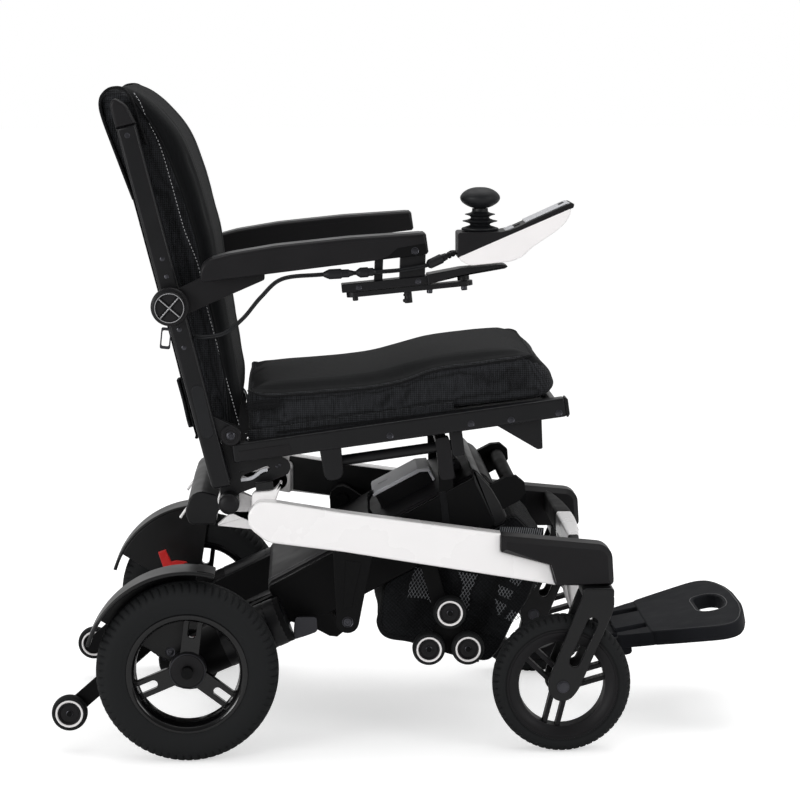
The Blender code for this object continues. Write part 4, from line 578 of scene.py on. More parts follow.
def cloth(name, dark, light, thread_mm, depth, rough=0.85, shine=0.25, slant=False):
    """Woven cloth: the height is the sum of |sin| along the three axes, turned by 45 degrees where it is
    slant, so any face shows two sets of threads. Streaks along the weave lighten it, as in stretched yarn."""
    made, tree, shader, where = started(name, {
        "Roughness": rough, "Specular IOR Level": 0.12, "Sheen Weight": shine, "Sheen Roughness": 0.45})
    laid = add(tree, "Mapping", {"Vector": where, "Rotation": (0, math.pi / 4 if slant else 0, 0)})
    ripple = add(tree, "TexNoise", {"Vector": where, "Scale": 120.0, "Detail": 2.0}).outputs[0]
    wave = math.pi * 1000 / thread_mm
    scaled = add(tree, "VectorMath", {0: laid.outputs[0], 1: (wave, wave, wave)}, operation="MULTIPLY")
    bent = add(tree, "VectorMath", {0: scaled.outputs[0], 1: ripple}, operation="ADD")
    sine = add(tree, "VectorMath", {0: bent.outputs[0]}, operation="SINE")
    size = add(tree, "VectorMath", {0: sine.outputs[0]}, operation="ABSOLUTE")
    parts = add(tree, "SeparateXYZ", {0: size.outputs[0]})
    both = add(tree, "Math", {0: parts.outputs[0], 1: parts.outputs[2]}, operation="ADD")
    height = add(tree, "Math", {0: both.outputs[0], 1: parts.outputs[1]}, operation="ADD")
    yarn = add(tree, "Mapping", {"Vector": laid.outputs[0], "Scale": (900, 60, 60)})
    streaks = add(tree, "TexNoise", {"Vector": yarn.outputs[0], "Scale": 1.0, "Detail": 3.0}).outputs[0]
    lit = add(tree, "Math", {0: height.outputs[0], 1: streaks}, operation="MULTIPLY")
    share = add(tree, "MapRange", {"Value": lit.outputs[0], "From Min": 0.35, "From Max": 1.5,
                                   "To Min": 0.0, "To Max": 1.0})
    colour = add(tree, "Mix", {0: share.outputs[0], 6: linear(dark), 7: linear(light)}, data_type="RGBA")
    tree.links.new(colour.outputs[2], shader.inputs["Base Color"])
    bump = add(tree, "Bump", {"Height": height.outputs[0], "Distance": depth, "Strength": 0.9})
    tree.links.new(bump.outputs[0], shader.inputs["Normal"])
    return made


# Woven polyester of the cushion sides and back cover: the real 0.6 mm thread is drawn at 3 mm to show
WOVEN = cloth("woven_black_polyester", "#0a0b0b", "#2e2f32", 3.0, 0.0004, shine=0.06)
# Smooth stretch cloth of the cushion's top: a tight knit, nearly plain
KNIT = cloth("tight_black_knit", "#08090a", "#0f1012", 1.8, 0.00010, 0.80, shine=0.02)
# Coarse spacer mesh of the basket: a 4 mm diamond weave of grey thread over shadow
NETTING = cloth("spacer_mesh", "#070708", "#1b1c1e", 4.0, 0.0005, 0.85, slant=True, shine=0.05)
# Polyester webbing of the straps
WEBBING = cloth("black_webbing", "#0a0b0c", "#19191b", 2.0, 0.0003, 0.8, shine=0.06)
# Pale polyester thread of the topstitching, drawn 1.1 mm thick so that it shows
THREAD = finish("pale_polyester_thread", "#8c8c8e", "#b4b4b6", (0.55, 0.70), 1.0, 0.00002, 8)
# Grey monofilament of the netting, with the dull gleam of nylon line
NET_THREAD = finish("grey_net_line", "#55575a", "#84868a", (0.40, 0.60), 1.0, 0.00002, 10)
# Light grey webbing of the pull tab
GREY_WEB = cloth("grey_webbing", "#6f7173", "#a0a2a4", 2.0, 0.0002, 0.75, shine=0.1)


# Wheels

def tyre(radius, width, bead, y, centre, notches, crown):
    """A tyre as a function of the angle round it and the way across its section. The section goes from
    bead to bead over a sidewall, a shoulder and the tread; slanted notches and two grooves are cut into
    the tread by lowering the surface along its normal."""
    half = width / 2
    wall = radius - crown
    section = flowing([(bead, -half * 0.70), (bead + 0.0035, -half * 0.84), (bead + 0.010, -half * 0.93),
                       (wall - crown * 0.4, -half * 0.995), (wall + crown * 0.15, -half * 0.97),
                       (wall + crown * 0.62, -half * 0.80), (radius - crown * 0.08, -half * 0.50),
                       (radius, -half * 0.18), (radius, half * 0.18), (radius - crown * 0.08, half * 0.50),
                       (wall + crown * 0.62, half * 0.80), (wall + crown * 0.15, half * 0.97),
                       (wall - crown * 0.4, half * 0.995), (bead + 0.010, half * 0.93),
                       (bead + 0.0035, half * 0.84), (bead, half * 0.70)], 64)
    steps = notches * 8
    t = np.linspace(0, 2 * np.pi, steps, endpoint=False)[:, None]
    r, o = section[None, :, 0], section[None, :, 1]
    across = o / half
    slant = 0.9 * np.abs(across) + (r - wall) / crown * 0.5
    phase = (notches * t / (2 * np.pi) + slant + np.where(o > 0, 0.5, 0.0)) % 1.0
    notch = np.clip(1.6 - np.abs(phase - 0.5) * 9.0, 0, 1)
    shoulder = np.clip((r - (wall + crown * 0.30)) / (crown * 0.25), 0,
                       1) * np.clip((np.abs(across) - 0.30) * 9, 0, 1)
    groove = np.clip(1.5 - np.abs(np.abs(o) - half * 0.30) / 0.0011, 0, 1)
    ring = np.exp(-((r - (wall - crown * 0.95)) / 0.0009) ** 2) * (np.abs(across) > 0.7)
    drop = 0.0022 * notch * shoulder + 0.0022 * groove * (r > wall + crown * 0.5) + 0.0009 * ring
    tangent = unit(np.gradient(section, axis=0))
    normal = np.stack([tangent[:, 1], -tangent[:, 0]], -1)
    r2, o2 = r - drop * normal[None, :, 0], o - drop * normal[None, :, 1]
    grid = np.stack([centre[0] + r2 * np.cos(t), y + o2, centre[1] + r2 * np.sin(t)], -1)
    return skin(grid, closed=True, wrap=True)


def spoke(centre, y0, y1, angle, root, reach, width, arm_width, window):
    """A flat spoke with a round-ended window open at the rim: two arms joined near the hub."""
    w, inner = width / 2, width / 2 - arm_width
    t = np.linspace(-np.pi / 2, -3 * np.pi / 2, 13)
    well = np.stack([window + inner * (1 + np.cos(t)), inner * np.sin(t)], -1)
    outline = np.concatenate([[(root, -w), (reach, -w), (reach, -inner)], well,
                              [(reach, inner), (reach, w), (root, w)]])
    c, s = math.cos(math.radians(angle)), math.sin(math.radians(angle))
    turned_outline = np.stack([centre[0] + outline[:, 0] * c - outline[:, 1] * s,
                               centre[1] + outline[:, 0] * s + outline[:, 1] * c], -1)
    return plate(turned_outline, y0, y1, 0.0012, 2)


for side, sign in SIDES:
    y = sign * WHEEL_Y
    body = f"drive_wheel_{side[0]}"
    piece(f"drive_wheel_tyre_{side}", [tyre(0.130, 0.055, 0.0805, y, AXLE, 72, 0.020)], TYRE, body,
          f"drive_tyre_{side}", crease=55, level=False)
    # The rim's section: outer lip, inner barrel and the far lip, with its back against the tyre
    rim = [(0.0860, 0.0205), (0.0872, 0.0235), (0.0862, 0.0256), (0.0835, 0.0262), (0.0800, 0.0250),
           (0.0772, 0.0225), (0.0755, 0.0180), (0.0742, 0.0060), (0.0738, -0.0120), (0.0752, -0.0200),
           (0.0775, -0.0240), (0.0830, -0.0262), (0.0865, -0.0250), (0.0868, -0.0215), (0.0810, -0.0190),
           (0.0790, -0.0100), (0.0790, 0.0120), (0.0815, 0.0185)]
    hub = [(0, 0.0074), (0.0225, 0.0074), (0.0236, 0.0068), (0.0240, 0.0040), (0.0262, 0.0020),
           (0.0270, -0.0100),
           (0.0225, -0.0160), (0.0105, -0.0165), (0.0105, -0.0120), (0, -0.0120)]
    shells = [spun(rim, AXLE, y, sign, 120, loop=True)]
    for angle in (83, 203, 323):
        shells.append(spoke(AXLE, y + sign * 0.0005, y - sign * 0.0115, angle, 0.020, 0.0762, 0.027, 0.0075,
                            0.0470))
    piece(f"drive_wheel_rim_{side}", shells, LACQUER, body, f"drive_rim_{side}", crease=40)
    piece(f"drive_wheel_hub_{side}", [spun(hub, AXLE, y, sign, 72)],
          MOULDED, body)
    ring = [(0.0240, 0.0066), (0.0244, 0.0076), (0.0254, 0.0074), (0.0260, 0.0060), (0.0250, 0.0036)]
    piece(f"drive_wheel_hub_ring_{side}",
          [spun(ring, AXLE, y, sign, 72, loop=True)], GREY_CAST, body)

    y = sign * CASTER_Y
    body = f"caster_{side[0]}"
    piece(f"caster_wheel_tyre_{side}", [tyre(0.100, 0.045, 0.0765, y, CASTER_AXLE, 60, 0.0125)], TYRE, body,
          f"caster_tyre_{side}", crease=55, level=False)
    rim = [(0.0795, 0.0170), (0.0812, 0.0182), (0.0806, 0.0196), (0.0780, 0.0198), (0.0768, 0.0186),
           (0.0752, 0.0186), (0.0738, 0.0180), (0.0690, 0.0164), (0.0676, 0.0150), (0.0648, 0.0146),
           (0.0628, 0.0134), (0.0622, 0.0110), (0.0622, -0.0110), (0.0628, -0.0134), (0.0648, -0.0146),
           (0.0676, -0.0150), (0.0690, -0.0164), (0.0752, -0.0186), (0.0780, -0.0198), (0.0812, -0.0182),
           (0.0770, -0.0150), (0.0770, 0.0150)]
    hub = [(0, 0.0190), (0.0088, 0.0190), (0.0098, 0.0180), (0.0122, 0.0172), (0.0132, 0.0160),
           (0.0132, -0.0160), (0.0098, -0.0180), (0, -0.0190)]
    shells = [spun(rim, CASTER_AXLE, y, sign, 108, loop=True),
              spun(hub, CASTER_AXLE, y, sign, 48)]
    for angle in (16, 136, 256):
        shells.append(spoke(CASTER_AXLE, y + sign * 0.0095, y - sign * 0.0095, angle, 0.006, 0.0640, 0.0255,
                            0.0065, 0.0190))
    piece(f"caster_wheel_rim_{side}", shells, MOULDED, body, f"caster_rim_{side}",
          crease=40)


# Rollers and anti-tip wheels: a small tyre, a white ring and a dark disc with its bolt

def small_wheel(name, node, body, centre, y_in, y_out, radius):
    out = 1 if y_out > y_in else -1
    wide, mid = abs(y_out - y_in) / 2, (y_in + y_out) / 2
    tread = flowing([(radius * 0.80, -wide * 0.96), (radius * 0.93, -wide * 0.92), (radius, -wide * 0.45),
                     (radius * 1.0, wide * 0.45), (radius * 0.93, wide * 0.92), (radius * 0.80, wide * 0.96)],
                    20)
    tread = [*tread, (radius * 0.76, wide * 0.80), (radius * 0.76, -wide * 0.80)]
    disc = [(0.0042, wide * 0.70), (radius * 0.50, wide * 0.70), (radius * 0.55, wide * 0.86),
            (radius * 0.62, wide * 0.90),
            (radius * 0.655, wide * 0.74), (radius * 0.655, -wide * 0.74), (radius * 0.60, -wide * 0.90),
            (radius * 0.50, -wide * 0.70), (0.0042, -wide * 0.70)]
    ring = [(radius * 0.655, wide * 0.88), (radius * 0.70, wide * 0.98), (radius * 0.765, wide * 0.98),
            (radius * 0.785, wide * 0.86), (radius * 0.785, -wide * 0.86), (radius * 0.70, -wide * 0.98),
            (radius * 0.655, -wide * 0.88)]
    bolt = [(0, wide * 0.86), (0.0036, wide * 0.86), (0.0046, wide * 0.80), (0.0046, wide * 0.66),
            (0, wide * 0.66)]
    spin = lambda profile, loop: spun(profile, centre, mid, out, 56, loop)
    piece(name, [spin(tread, True)], TYRE, body, node)
    piece(name + "_disc", [spin(disc, True)], MOULDED, body)
    piece(name + "_ring", [spin(ring, True)], SHELL_WHITE, body)
    piece(name + "_bolt", [spin(bolt, False)], ZINC, body)


ROLLER_MIDDLE = np.array((0.3772, 0.158))
ROLLERS = {"top": ROLLER_MIDDLE + (0.002, 0.0345)}
for place, degrees in (("rear", 214), ("front", -34)):
    ROLLERS[place] = ROLLER_MIDDLE + 0.0345 * np.array((math.cos(math.radians(degrees)),
                                                        math.sin(math.radians(degrees))))
for side, sign in SIDES:
    for place, centre in ROLLERS.items():
        small_wheel(f"frame_roller_{place}_{side}", f"roller_{place}_{side}", f"roller_{place}_{side[0]}",
                    centre,
                    sign * 0.172, sign * 0.196, 0.0240)
    small_wheel(f"rear_roller_{side}", f"anti_tip_wheel_{side}", f"anti_tip_{side[0]}", TIP_AXLE,
                sign * 0.2103, sign * 0.2303, 0.0257)


# White side rails, their rear castings and the black front caps

RAIL = [(0.0858, 0.3492), (0.0892, 0.3289), (0.114, 0.3083), (0.2183, 0.2945), (0.5286, 0.2430),
        (0.5198, 0.2740), (0.4491, 0.2935), (0.4491, 0.3190), (0.2185, 0.3512), (0.1255, 0.3666),
        (0.100, 0.3680)]
CAP = [(0.4494, 0.3180), (0.4494, 0.2938), (0.5201, 0.2743), (0.5289, 0.2450), (0.6121, 0.2441),
       (0.6089, 0.2923), (0.5968, 0.3037)]
for side, sign in SIDES:
    rail = eased(RAIL, 0.010, 6, (4, 5, 6, 7))
    casting = [(0.092, 0.332), (0.118, 0.312), (0.150, 0.306), (0.150, 0.352), (0.1253, 0.3602),
               (0.1371, 0.3935), (0.1240, 0.3792), (0.0967, 0.3770), (0.092, 0.372)]
    shells = [plate(rail, sign * 0.212, sign * 0.2415, 0.0035, 5),
              plate(eased(casting, 0.006, 4), sign * 0.1915, sign * 0.2130, 0.003, 3),
              plate(eased([(0.100, 0.328), (0.118, 0.314), (0.146, 0.309), (0.146, 0.346), (0.110, 0.352)],
                          0.004),
                    sign * 0.168, sign * 0.1925, 0.0015),
              plate(capsule(REAR_PIVOT, (0.125, 0.330), 0.0175), sign * 0.168, sign * 0.184, 0.0015),
              plate(eased([(0.0405, 0.3230), (0.110, 0.3150), (0.110, 0.345), (0.066, 0.345)], 0.004),
                    sign * 0.168, sign * 0.184, 0.0015)]
    # The bosses of the scissor pivot belong to the white rail but are drawn in the painted-shade black, for
    # the shade they sit in
    boss = [pin(SCISSOR, r, sign * a, sign * b, 40)
            for r, a, b in ((0.016, 0.167, 0.2125), (0.009, 0.146, 0.170))]
    piece(f"scissor_boss_{side}", boss, SHADE_BLACK, "front_frame")
    piece(f"white_rail_{side}", shells, WHITE, "front_frame", f"side_rail_{side}")
    # A thin dark sheet on the rail's inner face: painted shade, for the shade that face lies in
    inner_face_shade = [(0.1440, 0.3080), (0.2183, 0.2962), (0.4460, 0.2600), (0.4480, 0.2930), (0.4480, 0.3175),
              (0.2185, 0.3498), (0.1440, 0.3622)]
    piece(f"rail_inner_shade_{side}", [plate(eased(inner_face_shade, 0.003, 3), sign * 0.2100, sign * 0.2122, 0.0005, 2)],
          SATIN,
          "front_frame")
    cap = eased(CAP, 0.009, 5, (0, 1, 2, 3))
    top = np.clip((cap[:, 1] - 0.285) / 0.010, 0, 1)
    front = np.clip((cap[:, 0] - 0.600) / 0.006, 0, 1)
    draw = 0.15 + 0.85 * np.maximum(top, front)
    piece(f"front_cap_{side}", [plate(cap, sign * 0.210, sign * 0.2563, 0.0075, 1, draw)], MOULDED,
          "front_frame", f"rail_cap_{side}", crease=20)


# Back tubes with their caps, cross bars, lugs and clamp studs

TUBE_SCREWS = [(0.3399, 0.0020), (0.3138, 0.0015), (0.2366, -0.0005), (0.2101, -0.0005)]
shells, caps, trims, screws = [], [], [], []
for side, sign in SIDES:
    post = eased(tube([(0.0, 0.014), (0.5330, 0.014), (0.5330, -0.014), (0.002, -0.014)]), 0.007, 5, (1, 2))
    shells.append(plate(post, sign * 0.191, sign * 0.219, 0.0042, 4))
    shells.append(plate(capsule(tube((0.098, 0.0)), BACK_PIVOT, 0.0128), sign * 0.191, sign * 0.211, 0.0015))
    shells.append(pin(HUB, 0.008, sign * 0.216, sign * 0.2562, 32))
    caps.append(plate(eased(tube([(0.5336, 0.0144), (0.562, 0.0080), (0.576, -0.0060), (0.568, -0.0144),
                                  (0.5336, -0.0144)]), 0.007, 5, (0, 4)), sign * 0.1905, sign * 0.2195,
                      0.0042, 4))
    inlay = capsule(tube((0.084, 0.0000)), tube((0.145, 0.0020)), 0.0088)
    trims.append(plate(inlay, sign * 0.2185, sign * 0.2203, 0.0009, 3))
    for t, d in TUBE_SCREWS:
        screws.append(spun([(0, 0.2196), (0.0026, 0.2196), (0.0034, 0.2192), (0.0034, 0.2185), (0, 0.2185)],
                           tube((t, d)), 0, sign, 20))
    screws.append(spun([(0, 0.2198), (0.0030, 0.2198), (0.0040, 0.2190), (0, 0.2185)], tube((0.520, -0.001)),
                       0, sign, 20))
for t in (0.105, 0.250, 0.395):
    shells.append(plate(eased(tube([(t, 0.0055), (t + 0.022, 0.0055), (t + 0.022, -0.0115), (t, -0.0115)]),
                              0.003, 3),
                        -0.192, 0.192, 0.001, 1))
piece("back_tubes", shells, BLACK, "back", "back_frame")
piece("back_tube_caps", caps, MOULDED, "back")
piece("back_tube_inlays", trims, RUBBER, "back")
piece("back_tube_screws", screws, ZINC, "back")


# Armrests: a long moulded bar on a bracket that the knob clamps

ARM_LENGTH, ARM_EDGE_Y, ARM_OUT_Y = 0.3227, 0.2195, 0.2655
ARM_SIDE = [(0, 0), (ARM_LENGTH - 0.003, 0), (ARM_LENGTH, 0.003), (ARM_LENGTH - 0.0005, 0.0275),
            (ARM_LENGTH - 0.0035, 0.0304), (0.214, 0.0365), (0.110, 0.0383), (0.045, 0.0355), (0.018, 0.0318),
            (0.003, 0.024)]
KNOB_Y, KNOB_RADIUS, CROSS_TURN = 0.2325, 0.0224, 0.85
for side, sign in SIDES:
    outline = eased(ARM_SIDE, 0.010, 6, (1, 2, 3, 4))
    draw = 0.35 + 0.65 * np.clip((outline[:, 1] - 0.012) / 0.010, 0, 1)
    bracket = np.concatenate([arm([(0.004, 0.006), (0.091, 0.006), (0.089, -0.010)]),
                              HUB + [(0.058, 0.004), (0.010, -0.018), (-0.006, -0.012), (-0.006, 0.016)]])
    collar = [(0.0086, ARM_EDGE_Y), (0.016, ARM_EDGE_Y), (0.016, 0.2240), (0.0086, 0.2240)]
    shells = [plate(arm(outline), sign * ARM_EDGE_Y, sign * ARM_OUT_Y, 0.0055, 6, draw),
              plate(eased(bracket, 0.003), sign * 0.2235, sign * 0.2315, 0.0012),
              plate(circle(HUB, 0.024), sign * 0.2235, sign * 0.2315, 0.0012),
              spun(collar, HUB, 0, sign, 40, loop=True)]
    piece(f"arm_bar_{side}", shells, MOULDED, f"armrest_{side[0]}", f"armrest_{side}")

    # The top face: a thin paler skin over the bar that follows its crown, a painted highlight along the top
    along = np.linspace(0.020, ARM_LENGTH - 0.008, 40)
    crown = sorted(ARM_SIDE[4:9])
    above = np.interp(along, [q[0] for q in crown], [q[1] for q in crown])
    top = np.concatenate([np.column_stack([along, above + 0.0004]),
                          np.column_stack([along, above - 0.0012])[::-1]])
    piece(f"arm_top_{side}", [plate(arm(top), sign * 0.2235, sign * 0.2615, 0.0003, 2)], HIGHLIT_BLACK_ABS,
          f"armrest_{side[0]}")

    # The knob's face is a height over its disc: a dished cross between four raised petals
    r = np.linspace(0, 1, 26)[:, None] * KNOB_RADIUS
    t = np.linspace(0, 2 * np.pi, 120, endpoint=False)[None, :]
    bars = np.minimum(np.abs(r * np.sin(t - CROSS_TURN)), np.abs(r * np.cos(t - CROSS_TURN)))
    ridge = np.clip((0.0030 - bars) / 0.0012, 0, 1)
    rim_rise = np.clip((r - 0.0195) / 0.0008, 0, 1)
    h = 0.0245 + 0.0028 * np.maximum(ridge, rim_rise) - 0.0012 * np.clip((r - 0.0212) / 0.0012, 0, 1) ** 2
    face = np.stack([HUB[0] + r * np.cos(t), sign * (KNOB_Y + h) + 0 * r * t, HUB[1] + r * np.sin(t)], -1)
    wall = [(KNOB_RADIUS, 0.0262), (KNOB_RADIUS, 0.0140), (0.0241, 0.0137), (0.0262, 0.0128),
            (0.0271, 0.0112),
            (0.0271, 0.0012), (0.0262, 0.0), (0.0086, 0.0)]
    wall = np.array([at_y(circle(HUB, q, 120), sign * (KNOB_Y + o)) for q, o in wall])
    piece(f"clamp_knob_{side}", [skin(np.concatenate([face, wall]))], MOULDED, f"knob_{side[0]}",
          f"armrest_knob_{side}", crease=28)
    # Bright steel cross and ring on the knob's face: a painted reflection, for the X-shaped gleam of its
    # brushed face
    ring = [(0.0196, 0.0268), (0.0199, 0.0277), (0.0209, 0.0277), (0.0212, 0.0266)]
    knob_glints = [spun(ring, HUB, sign * KNOB_Y, sign, 96, loop=True)]
    for turn in (CROSS_TURN, CROSS_TURN + math.pi / 2):
        bar = line(HUB, math.degrees(turn))(slab(-0.0190, 0.0190, -0.0008, 0.0008))
        knob_glints.append(plate(bar, sign * 0.2590, sign * 0.2602, 0.0003, 2))
    piece(f"clamp_knob_glint_{side}", knob_glints, STEEL, f"knob_{side[0]}")


# Controller: white lower shell, dark body, grey key panel, button and mount

def wide(outline, half, edge, steps=5):
    """An outline across the controller, its sides eased in on a quarter round."""
    return plate(outline, CONTROL_Y - half, CONTROL_Y + half, edge, steps)


split = line((0.3842, 0.7182), PANEL_TILT)
shell = np.concatenate([split([(0.0012, 0.0020)]), [(0.3872, 0.7147)],
                        mount([(0.1625, 0.0262), (0.2215, 0.0262)]),
                        [(0.4739, 0.7185), (0.4878, 0.7319), (0.5227, 0.7556), (0.5352, 0.7667),
                         (0.5428, 0.7810)],
                        split([(0.1728, 0.0020)])])
piece("control_lower_shell", [wide(eased(shell, 0.006, 5, (0, 9)), 0.0327, 0.0026)], SHELL_WHITE,
      "controller",
      "controller_shell")
body_line = np.concatenate([split([(0, 0.0), (0.1758, -0.0022)]),
                            panel([(0.0960, -0.0034), (0.0928, 0.0002)]),
                            [(0.4582, 0.7571), (0.4440, 0.7543), (0.3862, 0.7534), (0.3840, 0.7515)]])
piece("control_body", [wide(eased(body_line, 0.0025, 4, (0, 1)), 0.033, 0.0014)], MOULDED, "controller",
      "controller_body")
keys = [(0.0225, 0.0), (0.0860, 0.0), (0.0912, -0.0020), (0.0905, 0.0016), (0.0850, 0.0024), (0.0235, 0.0022)]
strip = [(-0.0115, 0.0), (0.0062, 0.0), (0.0062, 0.0016), (-0.0100, 0.0016)]
for name, outline, soften, steps, half, edge, look in (
        ("control_key_panel", keys, 0.0012, 4, 0.027, 0.0008, GREY),
        ("control_rear_strip", strip, 0.0008, 3, 0.022, 0.0005, GREY),
        ("control_horn_key", slab(0.0765, 0.0850, 0.0, 0.0030), 0.0012, 3, 0.010, 0.0008, RUBBER)):
    piece(name, [wide(eased(panel(outline), soften, steps), half, edge, steps)], look, "controller")
button = panel(slab(0.0076, 0.0164, -0.0020, 0.0014))
piece("power_key", [wide(eased(button, 0.0006, 3), 0.0068, 0.0008, 3)], RUBBER, "button", "power_button")

AROUND_STICK = (0.417, CONTROL_Y, 0)
dome = flowing([(0.004, 0.7856), (0.0100, 0.7862), (0.0170, 0.7886), (0.0238, 0.7928), (0.0272, 0.7968),
                (0.0282, 0.8004),
                (0.0272, 0.8040), (0.0232, 0.8086), (0.0165, 0.8126), (0.0085, 0.8149), (0, 0.8154)], 40)
piece("joystick_grip", [turned([(0, 0.7563), (0.0032, 0.7563), (0.0032, 0.7630), (0.004, 0.7640), *dome[:-1],
                                (0, 0.8154)],
                               AROUND_STICK, (0, 0, 1), 72)], RUBBER, "stick", "joystick")


def gaiter():
    """The bellows' wall: radius as a smooth function of height, three sharp-lipped folds over a flange."""
    outer = flowing([(0.0256, 0.7547), (0.0262, 0.7562), (0.0258, 0.7580), (0.0215, 0.7596), (0.0150, 0.7618),
                     (0.0146, 0.7640), (0.0205, 0.7662), (0.0247, 0.7674), (0.0240, 0.7684), (0.0185, 0.7696),
                     (0.0138, 0.7716), (0.0136, 0.7738), (0.0170, 0.7756), (0.0212, 0.7768), (0.0206, 0.7779),
                     (0.0160, 0.7790), (0.0118, 0.7810), (0.0112, 0.7855)], 90)
    inner = [(0.0085, 0.7855), (0.0085, 0.7800), (0.0105, 0.7760), (0.0105, 0.7547)]
    return turned([*outer, *inner], AROUND_STICK, (0, 0, 1), 72, loop=True)


piece("joystick_gaiter", [gaiter()], RUBBER, "controller", "joystick_bellows")


# Cushion: foam in a woven case with a smooth top

SEAM_Y = 0.170
SEAM = [(0.0, 0.0600), (0.009, 0.0605), (0.046, 0.0553), (0.085, 0.0530), (0.132, 0.0513), (0.178, 0.0495),
        (0.236, 0.0535), (0.280, 0.0636), (0.347, 0.0656), (0.380, 0.0665), (0.413, 0.0655), (0.440, 0.0590)]
RIDGE = [(0.0, 0.0560), (0.020, 0.0580), (0.060, 0.0590), (0.1025, 0.0573), (0.1527, 0.0558), (0.200, 0.0570),
         (0.249, 0.0640), (0.287, 0.0690), (0.350, 0.0700), (0.400, 0.0665), (0.425, 0.0620), (0.440, 0.0560)]
NOSE = [(0, 0.4525), (0.12, 0.4555), (0.40, 0.4550), (0.62, 0.4500), (0.82, 0.4405), (1, 0.4270)]


def cushion_shape(a, b, c):
    """From a unit box: a runs from the rear to the nose, whose place depends on c, b across, and c up from
    the board to a top that falls from its crown over a ridge to the seam. The upright corners are rounded."""
    nose = curve(NOSE, c)
    rear = 0.002 + 0.010 * np.clip((c - 0.7) / 0.3, 0, 1) ** 2 + 0.006 * (1 - np.clip(c / 0.15, 0, 1)) ** 2
    u = rear + (nose - rear) * a
    share = 2 * b - 1
    half = 0.1835 + 0.0015 * np.sin(np.pi * np.clip(c, 0, 1))
    y = share * half
    du, dy = cornered(nose - u, half - np.abs(y), 0.034)
    u, y = nose - du, np.sign(share) * (half - dy)
    du, dy = cornered(u - rear, half - np.abs(y), 0.022)
    u, y = rear + du, np.sign(share) * (half - dy)
    seam, ridge = curve(SEAM, u), curve(RIDGE, u)
    s = np.abs(y) / half
    crown = ridge + 0.0045 * np.clip((0.40 - u) / 0.12, 0, 1)
    inner = crown - (crown - ridge) * np.clip(s / 0.70, 0, 1) ** 2
    t = np.clip((s - 0.70) / 0.225, 0, 1)
    outer = ridge + (seam - ridge) * t * t * (3 - 2 * t)
    top = np.where(s < 0.70, inner, outer) - 0.0045 * np.clip((s - 0.925) / 0.075, 0, 1) ** 2
    low = 0.0015 + 0.016 * np.clip((u - 0.405) / 0.055, 0, 1) ** 3
    v = low + c * (top - low)
    dy, dv = cornered(half - np.abs(y), v - low, 0.008)
    return u, np.sign(share) * (half - dy), low + dv


abc, quads = box_skin(84, 68, 11)
u, y, v = cushion_shape(*abc.T)
on_top = abc[:, 2] > 0.999
seam_pull = np.where(on_top, np.clip((SEAM_Y - np.abs(y)) / 0.016, 0.05, 1) * np.clip((0.424 - u) / 0.02,
                                                                                      0.05, 1),
                     np.clip(np.minimum(1 - abc[:, 2], abc[:, 2]) / 0.30, 0.08, 1))
case = puffed(at_y(cushion_line(np.stack([u, v], -1)), y), quads, 0.006, seam_pull)
inside = np.clip(1 - np.abs(abc[:, 2] - 0.5) * 2, 0, 1)
wall = (np.abs(2 * abc[:, 1] - 1) > 0.999) & (abc[:, 0] > 0.02) & (abc[:, 0] < 0.98)
SIDE_FOLDS = [(0.056, 0.008, 0.054, 0.048, 0.0022, 0.0035), (0.062, 0.012, 0.064, 0.050, 0.0014, 0.0030),
              (0.131, 0.010, 0.128, 0.046, 0.0020, 0.0030), (0.064, 0.030, 0.100, 0.034, 0.0012, 0.0040),
              (0.195, 0.012, 0.228, 0.044, 0.0016, 0.0060), (0.222, 0.008, 0.262, 0.052, 0.0014, 0.0065),
              (0.150, 0.020, 0.176, 0.040, 0.0012, 0.0060), (0.300, 0.012, 0.322, 0.054, 0.0008, 0.0080),
              (0.372, 0.014, 0.398, 0.050, 0.0009, 0.0070), (0.420, 0.016, 0.432, 0.046, 0.0012, 0.0050),
              (0.0, 0.020, 0.056, 0.019, 0.0010, 0.0016), (0.0, 0.0315, 0.056, 0.0300, 0.0008, 0.0014)]
for sign in (1, -1):
    here = wall & (np.sign(2 * abc[:, 1] - 1) == sign)
    swap = u[here] if sign < 0 else u[here] * 0.93 + 0.02
    case[here, 1] -= sign * creased(np.stack([swap, v[here]], -1), SIDE_FOLDS) * np.clip(inside[here] * 3, 0,
                                                                                         1)
cushion = piece("seat_pad", [(case, quads)], KNIT, "seat", "seat_cushion", crease=80, level=False)
cushion.data.materials.append(WOVEN)
middles = np.array([f.center[:] for f in cushion.data.polygons])


def frame_of(points, origin, degrees):
    """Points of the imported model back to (along, above) on a tilted line: line() the other way."""
    c, s = math.cos(math.radians(degrees)), math.sin(math.radians(degrees))
    dx, dz = points[:, 0] - X0 - origin[0], points[:, 2] - origin[1]
    return dx * c + dz * s, dz * c - dx * s


mu, mv = frame_of(middles, CUSHION_FOOT, CUSHION_TILT)
upper = (mv > curve(SEAM, mu) - 0.0025 - 0.010 * np.clip((mu - 0.40) / 0.03, 0,
                                                         1)) & (np.abs(middles[:, 1]) < 0.178)
upper |= (mv > curve(SEAM, mu) + 0.0005) & (mu < 0.44)
cushion.data.polygons.foreach_set("material_index", np.where(upper, 0, 1).astype(np.int32))
finer = cushion.modifiers.new("finer", "SUBSURF")
finer.levels = finer.render_levels = 1

# The piping follows the top seam all round: the same shape function with c at 1
lap, ones = np.linspace(0, 1, 40), np.ones(40)
edges = [(lap, 0 * lap), (ones, lap), (1 - lap, ones), (0 * lap, 1 - lap)]
round_it = np.concatenate([np.column_stack(pair)[1:] for pair in edges])
round_it = np.roll(round_it, 1, axis=0)
pu, py, pv = cushion_shape(round_it[:, 0], round_it[:, 1], np.full(len(round_it), 0.985))
piping = at_y(cushion_line(np.stack([pu, pv], -1)), py * 1.008)
piping = np.concatenate([piping, piping[:1]])
piece("seat_pad_piping", [swept(flowing(piping, 300), 0.0019, 10)], WEBBING, "seat", crease=80, level=False)

